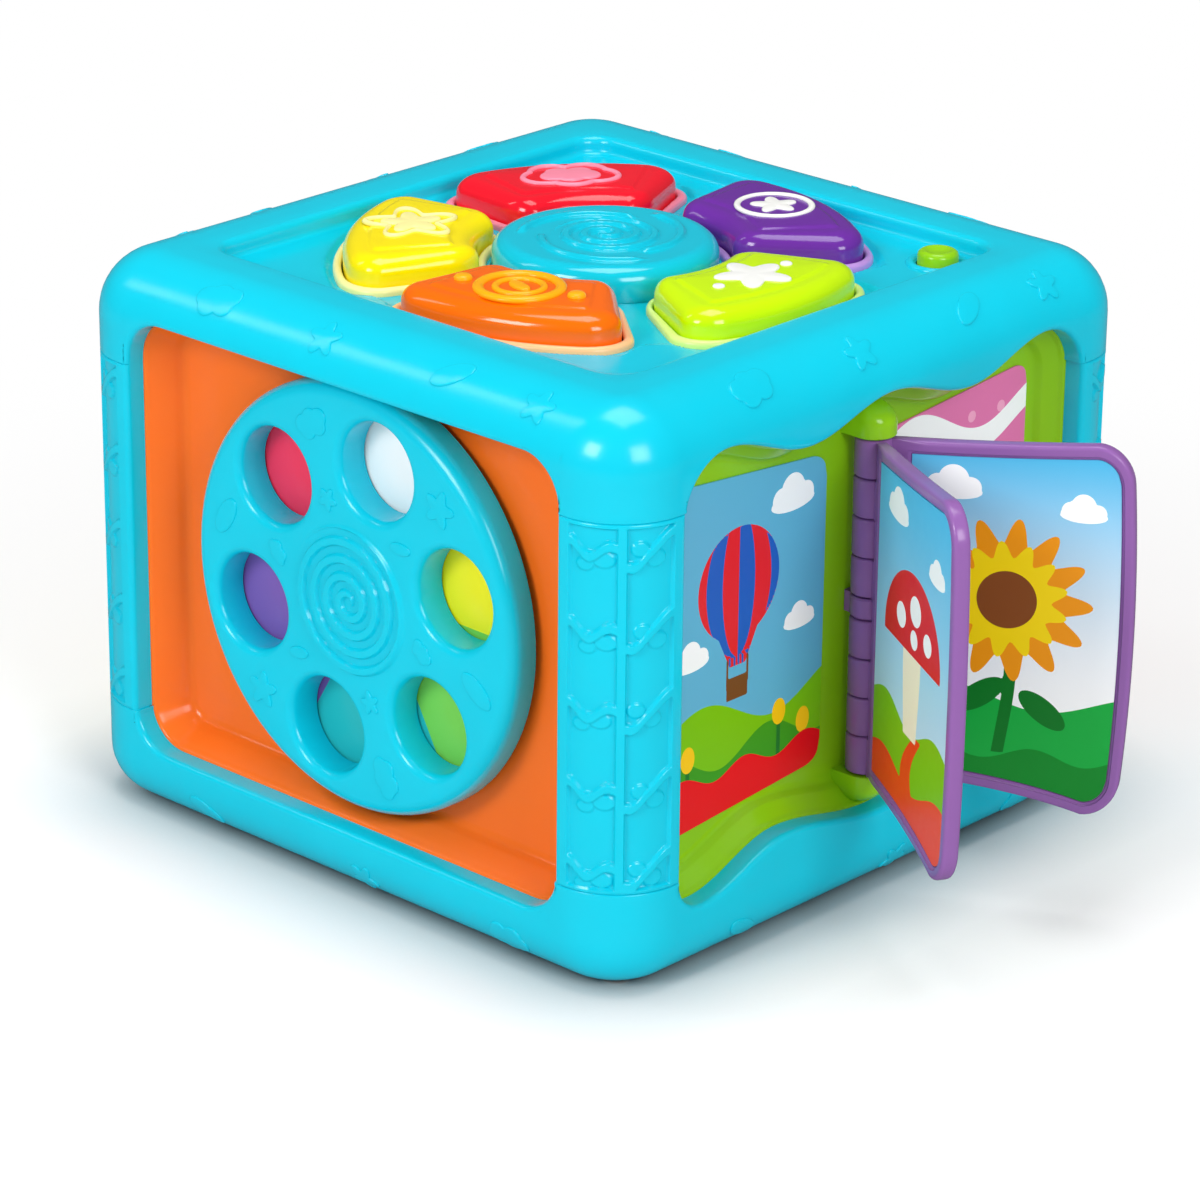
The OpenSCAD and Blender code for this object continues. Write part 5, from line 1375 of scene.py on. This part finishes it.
class CUBE_OT_buttons(bpy.types.Operator):
    """Fan buttons with bezels and icons, the centre button and the mode button"""
    bl_idname = "activity_cube.buttons"
    bl_label = "Buttons"

    def execute(self, context):
        cap, trim = self.fan_cap(), self.fan_trim()
        for name, degrees in FAN_TURNS.items():
            tint, slot, edge = FAN_LOOKS[name]
            piece("button_%s_cap" % name, [turned(cap, degrees)], "button_" + name, ["button_" + name],
                  [finish(tint)])
            piece("bezel_%s_trim" % name, [turned(trim, degrees)], "housing", ["bezel_" + name],
                  [finish("trim_" + edge)])
            self.icon(name, degrees, slot + "_abs")
        self.centre()
        self.mode()
        return {"FINISHED"}

    def fan_cap(self):
        """Fan cap: upright sides, a rounded edge, and a raised pad with a soft foot and a low domed top."""
        e = size("cap_round")
        t = np.linspace(0.0, np.pi / 2, 10)
        pad = np.array([[6.3, -CAP_PAD], [6.7, -0.8], [7.2, -0.45], [7.7, -0.3], [8.3, -0.26]])
        insets = np.concatenate([[0.0, 0.0], e * 1.15 * (1 - np.cos(t)), pad[:, 0]])
        heights = np.concatenate([[CAP_LOW, TRAY_Z], BUTTON_TOP - CAP_PAD - e * (1 - np.sin(t)),
                                  BUTTON_TOP + pad[:, 1]])
        rings = stack([fan_outline(-g) for g in insets], heights)
        middle = np.array([FAN_MID, 0.0])
        inner = rings[-1][:, :2]
        rings += stack([middle + (inner - middle) * k for k in (0.7, 0.4)],
                       [BUTTON_TOP - 0.12, BUTTON_TOP - 0.03])
        return loft(rings, (FAN_MID, 0.0, CAP_LOW), (FAN_MID, 0.0, BUTTON_TOP))

    def fan_trim(self):
        """Bezel round a fan cap: a low rounded bead carried round its outline."""
        bead = [(CAP_GAP, 0.0), (CAP_GAP, 1.3), (0.7, 1.8), (1.2, 2.0), (1.8, 1.95), (2.3, 1.6), (2.6, 1.0),
                (2.6, 0.0)]
        return tube(stack([fan_outline(g) for g, _ in bead], [TRAY_Z + h for _, h in bead]))

    def icon(self, name, degrees, slot):
        """Raised ornament on a cap: rings and studs, a star, a ringed blossom, a cloud or a petal round. On
        the red and yellow caps the relief is moulded in the cap's own colour, and its paler pink and straw
        tints are painted highlight.
        """
        spin = math.radians(degrees)
        x, y = FAN_MID * math.cos(spin), FAN_MID * math.sin(spin)

        place = above(BUTTON_TOP - 0.1)

        def studs(r, away, rise):
            """Two round studs, one on each side of the icon's middle."""
            dx, dy = math.cos(spin + np.pi / 2), math.sin(spin + np.pi / 2)
            return [emblem(ring(r), x + d * dx, y + d * dy, rise, place) for d in (-away, away)]

        if name == "orange":
            tint = "gold"
            parts = [cord(ring(10.6), x, y, 1.5, 1.0, place), cord(ring(6.2), x, y, 1.0, 0.8, place),
                     emblem(leaf(4.2), x, y, 0.8, place, spin + 1.0)]
            parts += studs(2.4, 16.0, 1.1)
        elif name == "green":
            tint = "white"
            parts = [emblem(twinkle(10.4), x, y, 0.5, place, spin + 0.4)] + studs(1.6, 13.0, 0.5)
        elif name == "purple":
            tint = "white"
            parts = [cord(ring(10.0), x, y, 0.9, 0.6, place), emblem(blossom(6.6), x, y, 0.5, place, spin)]
        elif name == "red":
            # Painted highlight: the relief is moulded in the cap's own red, and the paler pink stands in for
            # light on its raised edges
            tint = "trim_pink"
            parts = [cord(puff(12.5), x, y, 0.9, 0.7, place, spin + np.pi / 2),
                     emblem(puff(8.0), x, y, 0.6, place, spin + np.pi / 2)]
        else:
            # Painted highlight: the relief is moulded in the cap's own yellow, and the paler straw stands in
            # for light on its raised edges
            tint = "trim_straw"
            parts = [cord(blossom(12.4), x, y, 0.9, 0.7, place, spin),
                     emblem(blossom(8.4), x, y, 0.6, place, spin)]
        piece("button_%s_icon" % name, parts, "button_" + name, [], [finish(tint)])

    def centre(self):
        """Round cap whose top carries a spiral, with three curved ridges that wind outward round it."""
        e = size("cap_round")
        t = np.linspace(0.0, np.pi / 2, 9)
        profile = np.concatenate([[[CENTRE_R, CAP_LOW], [CENTRE_R, TRAY_Z]], np.stack(
            [CENTRE_R - e * (1 - np.cos(t)), BUTTON_TOP - CAP_PAD - e * (1 - np.sin(t))], -1)])
        count, pitch, soft, rise = 200, 5.0, 0.9, 0.95
        parts = [revolve(profile, stand(0.0, 0.0), count, CAP_LOW)]
        r = np.linspace(CENTRE_R - e, 0.3, 110)[:, None]
        a = np.linspace(0.0, 2.0 * np.pi, count, endpoint=False)
        phase = (r / pitch - a / (2 * np.pi)) % 1.0
        ridge = 1.0 - smooth((np.abs(phase - 0.5) * pitch - 1.1) / soft + 0.5)
        ridge = ridge * smooth((14.6 - r) / 1.2) * smooth(r - 0.8)
        arm = (3.0 * a / (2 * np.pi) + 0.15) % 1.0
        curl = 1.0 - smooth((np.abs(r - 16.6 - 6.0 * arm) - 1.0) / soft + 0.5)
        curl = curl * smooth(arm / 0.1) * smooth((1.0 - arm) / 0.1) * smooth((CENTRE_R - e - 0.3 - r) / 0.8)
        relief = rise * np.maximum(ridge, curl)
        rings = np.stack([r * np.cos(a), r * np.sin(a), BUTTON_TOP - CAP_PAD + relief], -1)
        parts.append(loft(rings, end=(0.0, 0.0, BUTTON_TOP - CAP_PAD)))
        piece("centre_cap", parts, "centre_button", ["centre_button"], [finish("cap_blue")])

    def mode(self):
        """Small round cap with a dished top, in a raised ring on the tray."""
        top = MODE_HIGH[2]
        profile = [[MODE_R, CAP_LOW], [MODE_R, top - 1.4], [5.2, top - 0.6], [4.5, top - 0.1], [3.9, top],
                   [3.3, top - 0.15], [2.4, top - 0.6], [1.2, top - 0.8]]
        piece("mode_cap", [revolve(profile, stand(MODE_AT, MODE_AT), 64, CAP_LOW, top - 0.85)], "mode_button",
              ["mode_button"], [finish("lime")])
        bead = cord(ring(7.4), MODE_AT, MODE_AT, 1.2, 0.95, above(TRAY_Z + 1.1))
        piece("mode_ring", [bead], "housing", [], [finish("blue")])


# Gear and roller sides

def gear_outline(teeth):
    """Involute gear outline: pressure angle 25 degrees, tips 0.8 and roots 1.05 modules from the pitch."""
    pitch_r, pressure, backlash = GEAR_MODULE * teeth / 2, math.radians(25.0), 0.35
    tip, root = pitch_r + 0.8 * GEAR_MODULE, pitch_r - 1.05 * GEAR_MODULE
    start = max(root, pitch_r * math.cos(pressure))
    flank = np.concatenate([[start], np.linspace(start, tip, 7)])
    radius = np.concatenate([[root], np.linspace(start, tip, 7)])
    lean = np.arccos(np.minimum(1.0, pitch_r * math.cos(pressure) / flank))
    half = np.pi / 2 / teeth - backlash / 4 / pitch_r
    half = half + (math.tan(pressure) - pressure) - (np.tan(lean) - lean)
    r = np.tile(np.concatenate([radius, radius[::-1]]), teeth)
    tooth = np.repeat(np.arange(teeth), 2 * len(half))
    a = np.tile(np.concatenate([-half, half[::-1]]), teeth) + tooth * 2 * np.pi / teeth
    return r, a


class CUBE_OT_gear_side(bpy.types.Operator):
    """Gear panel and three meshed gears"""
    bl_idname = "activity_cube.gear_side"
    bl_label = "Gear side"

    def execute(self, context):
        piece("gear_panel_skin", [plain_panel(GEAR_SIDE, FLOOR)], "housing", ["gear_panel"],
              [finish("yellow")])
        for name, teeth, degrees, direction, tint in (
                ("large", 18, 220.0, None, "red"), ("medium", 14, 412.857, 220.0, "purple"),
                ("small", 10, 158.0, -40.0, "lime")):
            self.gear("gear_" + name, teeth, degrees, self.beside(teeth, direction), tint)
        return {"FINISHED"}

    def beside(self, teeth, direction):
        """Centre of the large gear of 18 teeth, or of a gear that meshes with it in a direction."""
        u, z, large_teeth = 4.0, 94.0, 18
        if direction is None:
            return u, z
        reach = GEAR_MODULE * (large_teeth + teeth) / 2
        return u + reach * math.cos(math.radians(direction)), z + reach * math.sin(math.radians(direction))

    def gear(self, name, teeth, degrees, centre, tint):
        """Toothed rim with chamfered edges, a dished web and a boss round the bore."""
        low, high = span(name)
        front, back = low[0] + HALF_W, high[0] + HALF_W
        r, a = gear_outline(teeth)
        a = a + math.radians(degrees)
        pitch_r = GEAR_MODULE * teeth / 2
        web, boss, bore = pitch_r - 2 * GEAR_MODULE, GEAR_PIN_R + 3.0, GEAR_PIN_R + 0.05
        place = facing(centre[0], centre[1], GEAR_SIDE)
        front_cut, back_cut, depth = 0.7, 0.5, 1.2
        rows = [(back_cut, back), (0.0, back - back_cut), (0.0, front + front_cut), (0.2, front + 0.2),
                (front_cut, front)]
        rings = [place((r - i) * np.cos(a), (r - i) * np.sin(a), p + 0 * a) for i, p in rows]
        tooth = np.stack([(r - front_cut) * np.cos(a), (r - front_cut) * np.sin(a)], -1)
        tooth_back = np.stack([(r - back_cut) * np.cos(a), (r - back_cut) * np.sin(a)], -1)
        floor = front + depth
        dish = [[web, front], [web - 0.25, floor - 0.3], [web - 0.6, floor], [boss + 0.6, floor],
                [boss + 0.2, floor - 0.3], [boss, front + 0.3], [boss - 0.3, front], [bore + 0.3, front],
                [bore, front + 0.3], [bore, back]]
        parts = [loft(rings), fill([tooth, circle(0, 0, web, 96)], flat_at(place, front)),
                 fill([tooth_back, circle(0, 0, bore, 96)], flat_at(place, back)), revolve(dish, place, 96)]
        piece(name + "_wheel", parts, name, [name], [finish(tint)], sharp=32.0)


class CUBE_OT_roller_side(bpy.types.Operator):
    """Roller panel with its trough, and three rollers"""
    bl_idname = "activity_cube.roller_side"
    bl_label = "Roller side"

    def execute(self, context):
        profile = panel_profile(FLOOR)
        rings = panel_rings(ROLLER_SIDE, profile)
        back = on_side(0.0, FLOOR + PANEL_T, OPEN_MID, ROLLER_SIDE)
        parts = [loft(rings, back)]
        edge = opening_outline(ROLLER_SIDE, profile[-1][0])
        half, high, corner, deep = OPEN_HALF - 7.5, ROLLER_R + 3.0, 2.0, 2 * ROLLER_R + 3.5
        trough = [rounded_box(-half - g, half + g, OPEN_MID - high - g, OPEN_MID + high + g, corner + g,
                              40, 16, 8) for g in (1.2, 0.5, 0.1, 0.0, 0.0)]
        depths = (FLOOR, FLOOR + 0.2, FLOOR + 0.7, FLOOR + 1.4, deep)
        parts.append(fill([edge, trough[0]], lambda f: on_side(f[:, 0], FLOOR, f[:, 1], ROLLER_SIDE)))
        parts.append(loft([on_side(o[:, 0], p, o[:, 1], ROLLER_SIDE) for o, p in zip(trough, depths)],
                          end=on_side(0.0, depths[-1], OPEN_MID, ROLLER_SIDE)))
        piece("roller_panel_skin", parts, "housing", ["roller_panel"], [finish("red")])
        for i, tint in ((1, "yellow"), (2, "lime"), (3, "purple")):
            self.roller("roller_%d" % i, tint)
        return {"FINISHED"}

    def roller(self, name, tint):
        """Barrel with rounded rims, seven shallow grooves, and dished ends round its hub."""
        low, high = span(name)
        mid, half = (low[0] + high[0]) / 2, (high[0] - low[0]) / 2
        rim, bore, pitch, groove_deep, groove_half, groove_side = 2.0, 4.1, 6.0, 0.7, 0.5, 0.8
        x = np.linspace(-half + rim, half - rim, 160)
        off = np.abs((x / pitch + 0.5) % 1.0 - 0.5) * pitch
        groove = groove_deep * (1.0 - smooth((off - groove_half) / groove_side))
        t = np.linspace(0.0, np.pi / 2, 6)
        left = np.stack([ROLLER_R - rim + rim * np.sin(t), -half + rim - rim * np.cos(t)], -1)
        face = np.array([[bore, 0.0], [6.5, 0.0], [7.0, 0.4], [7.2, 2.2], [12.6, 2.2], [13.2, 0.5]])
        face = face - [0.0, half]
        profile = np.concatenate([face, left[:-1], np.stack([ROLLER_R - groove, x], -1)])
        right = np.concatenate([left[:-1][::-1], face[::-1]]) * [1.0, -1.0]
        profile = np.concatenate([profile, right, [[bore, -half]]])

        def on_rod(a, b, along):
            """Place for a revolve about the rod."""
            return np.stack(np.broadcast_arrays(mid + along, HALF_W - ROD_DEPTH + a, OPEN_MID + b), -1)

        piece(name + "_barrel", [revolve(profile, on_rod, 96)], name, [name], [finish(tint)])


# Carried nodes

CARRIED = {
    "zinc_steel": ["dial_washer", "dial_screw", "hinge_pin", "battery_contacts", "shell_screws",
                   "board_screws", "panel_screws", "door_screw"],
    "white": ["gear_pins", "roller_rod"],
    "laminate": ["circuit_board"], "silicone": ["switch_domes"], "black": ["speaker", "battery_box"],
    "blue": ["battery_door"], "jacket": ["batteries"], "lead_red": ["battery_lead"],
    "lead_black": ["speaker_lead"],
}


class CUBE_OT_carried(bpy.types.Operator):
    """Finishes on the CAD solids that show as they are: screws, pins, rod, door and the parts inside"""
    bl_idname = "activity_cube.carried"
    bl_label = "Carried solids"

    def execute(self, context):
        for key, names in CARRIED.items():
            for name in names:
                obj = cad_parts[name]
                obj = obj if isinstance(obj, bpy.types.Object) else bpy.data.objects[name]
                obj.data.materials.clear()
                obj.data.materials.append(finish(key))
        return {"FINISHED"}


# Stage

class CUBE_OT_stage(bpy.types.Operator):
    """White floor that keeps the shadow, soft boxes and the camera"""
    bl_idname = "activity_cube.stage"
    bl_label = "Stage"

    def execute(self, context):
        scene = context.scene
        scene.view_settings.view_transform = "Standard"
        reach = 6.0
        mesh = bpy.data.meshes.new("floor")
        mesh.from_pydata([(-reach, -reach, 0), (reach, -reach, 0), (reach, reach, 0), (-reach, reach, 0)], [],
                         [(0, 1, 2, 3)])
        floor = bpy.data.objects.new("floor", mesh)
        scene.collection.objects.link(floor)
        mesh.materials.append(self.paper())
        self.lights(scene)
        self.camera(scene)
        return {"FINISHED"}

    def paper(self):
        """White paper sweep.

        It lights the object as pale paper, dimmer in reflections. To the camera it is white with a contact
        shade round the object's foot, fades to pure white 120 to 400 mm away, and is clear from below.
        """
        pale, dim, white_level, shade_reach, shade_power = 0.8, 0.2, 0.94, 32.0 * MM, 0.6
        fade_from, fade_to = 120.0 * MM, 400.0 * MM
        material, tree = fresh("white paper sweep")
        ray = add(tree, "ShaderNodeLightPath")
        seen = add(tree, "ShaderNodeMath", {0: ray.outputs["Is Camera Ray"],
                                            1: ray.outputs["Is Transmission Ray"]}, operation="MAXIMUM")
        tone = add(tree, "ShaderNodeMapRange", {"Value": ray.outputs["Is Glossy Ray"], "To Min": pale,
                                                "To Max": dim})
        paper = add(tree, "ShaderNodeBsdfDiffuse", {"Color": tone.outputs["Result"]})
        near = add(tree, "ShaderNodeAmbientOcclusion", {"Distance": shade_reach})
        contact = add(tree, "ShaderNodeMath", {0: near.outputs["AO"], 1: shade_power}, operation="POWER")
        level = add(tree, "ShaderNodeMath", {0: contact.outputs[0], 1: white_level}, operation="MULTIPLY")
        white = add(tree, "ShaderNodeBsdfDiffuse", {"Color": level.outputs[0]})
        glow = add(tree, "ShaderNodeEmission", {"Color": (1.0, 1.0, 1.0, 1.0), "Strength": 1.0})
        away = add(tree, "ShaderNodeVectorMath", {0: add(tree, "ShaderNodeTexCoord").outputs["Object"]},
                   operation="LENGTH")
        fade = add(tree, "ShaderNodeMapRange", {"Value": away.outputs["Value"], "From Min": fade_from,
                                                "From Max": fade_to}, interpolation_type="SMOOTHSTEP")
        shown = add(tree, "ShaderNodeMixShader", {0: fade.outputs["Result"], 1: white.outputs[0],
                                                  2: glow.outputs[0]})
        both = add(tree, "ShaderNodeMixShader", {0: seen.outputs[0], 1: paper.outputs[0],
                                                 2: shown.outputs[0]})
        under = add(tree, "ShaderNodeNewGeometry").outputs["Backfacing"]
        clear = add(tree, "ShaderNodeBsdfTransparent")
        one_sided = add(tree, "ShaderNodeMixShader", {0: under, 1: both.outputs[0], 2: clear.outputs[0]})
        add(tree, "ShaderNodeOutputMaterial", {"Surface": one_sided.outputs[0]})
        return material

    def lights(self, scene):
        """Soft boxes in front, on the right and above, a narrow window on the left, and a white room.

        The room is dimmer in reflections, so that gloss does not wash the colours out. Places and sizes are
        in metres, and powers in watts. Every lamp looks at the middle of the cube.
        """
        room, room_seen, middle = 0.46, 0.1, Vector((0.0, 0.0, 0.07))
        world = bpy.data.worlds.new("white room")
        scene.world = world
        world.use_nodes = True
        tree = world.node_tree
        tree.nodes.clear()
        ray = add(tree, "ShaderNodeLightPath")
        level = add(tree, "ShaderNodeMapRange", {"Value": ray.outputs["Is Glossy Ray"], "To Min": room,
                                                 "To Max": room_seen})
        glow = add(tree, "ShaderNodeBackground", {"Color": (1.0, 1.0, 1.0, 1.0),
                                                  "Strength": level.outputs["Result"]})
        add(tree, "ShaderNodeOutputWorld", {"Surface": glow.outputs[0]})
        for name, place, wide, high, power in (
                ("key box", (0.0, -1.6, 1.0), 0.6, 0.6, 13.5),
                ("window box", (-1.25, -0.8, 1.35), 0.2, 0.8, 2.0),
                ("fill box", (1.5, -0.5, 0.9), 0.7, 0.7, 12.0),
                ("top box", (0.0, 0.1, 1.7), 0.9, 0.9, 11.0)):
            lamp = bpy.data.lights.new(name, "AREA")
            lamp.shape = "RECTANGLE"
            lamp.size = wide
            lamp.size_y = high
            lamp.energy = power
            obj = bpy.data.objects.new(name, lamp)
            obj.location = place
            obj.rotation_euler = (middle - Vector(place)).to_track_quat("-Z", "Y").to_euler()
            scene.collection.objects.link(obj)

    def camera(self, scene):
        """Camera on the photograph's line of sight: 43 degrees round from the dial side and 22 degrees up."""
        az, el, roll = math.radians(42.93), math.radians(21.87), math.radians(0.58)
        aim, distance = Vector((-12.8, 13.0, 46.5)) * MM, 1.3519
        back = Vector((math.sin(az) * math.cos(el), -math.cos(az) * math.cos(el), math.sin(el)))
        right = Vector((math.cos(az), math.sin(az), 0.0))
        up = back.cross(right)
        turned_right = right * math.cos(roll) + up * math.sin(roll)
        turned_up = up * math.cos(roll) - right * math.sin(roll)
        data = bpy.data.cameras.new("camera")
        data.lens = 147.9
        data.sensor_width = 36.0
        data.clip_end = 20.0
        obj = bpy.data.objects.new("camera", data)
        obj.matrix_world = Matrix((turned_right, turned_up, back)).transposed().to_4x4()
        obj.matrix_world.translation = aim + back * distance
        scene.collection.objects.link(obj)
        scene.camera = obj


class CUBE_PT_panel(bpy.types.Panel):
    """Lists the cube's operators and sizes"""
    bl_label = "Activity cube"
    bl_idname = "CUBE_PT_panel"
    bl_space_type = "VIEW_3D"
    bl_region_type = "UI"
    bl_category = "Activity cube"

    def draw(self, context):
        for operator in OPERATORS:
            self.layout.operator(operator.bl_idname)
        for key in CubeSizes.__annotations__:
            self.layout.prop(context.scene.activity_cube_sizes, key)
        for key in CubeColours.__annotations__:
            self.layout.prop(context.scene.activity_cube_colours, key)


OPERATORS = (CUBE_OT_shells, CUBE_OT_posts, CUBE_OT_dial_side, CUBE_OT_book_side, CUBE_OT_pages,
             CUBE_OT_prints, CUBE_OT_buttons, CUBE_OT_gear_side, CUBE_OT_roller_side, CUBE_OT_carried,
             CUBE_OT_stage)
CLASSES = (CubeColours, CubeSizes) + OPERATORS + (CUBE_PT_panel,)


def register():
    """Adds the classes and the scene's two property groups."""
    for kind in CLASSES:
        bpy.utils.register_class(kind)
    bpy.types.Scene.activity_cube_colours = bpy.props.PointerProperty(type=CubeColours)
    bpy.types.Scene.activity_cube_sizes = bpy.props.PointerProperty(type=CubeSizes)


def unregister():
    """Takes out what register added."""
    del bpy.types.Scene.activity_cube_sizes
    del bpy.types.Scene.activity_cube_colours
    for kind in reversed(CLASSES):
        bpy.utils.unregister_class(kind)


def main():
    register()
    for operator in OPERATORS:
        group, name = operator.bl_idname.split(".")
        getattr(getattr(bpy.ops, group), name)()


if __name__ == "__main__":
    main()
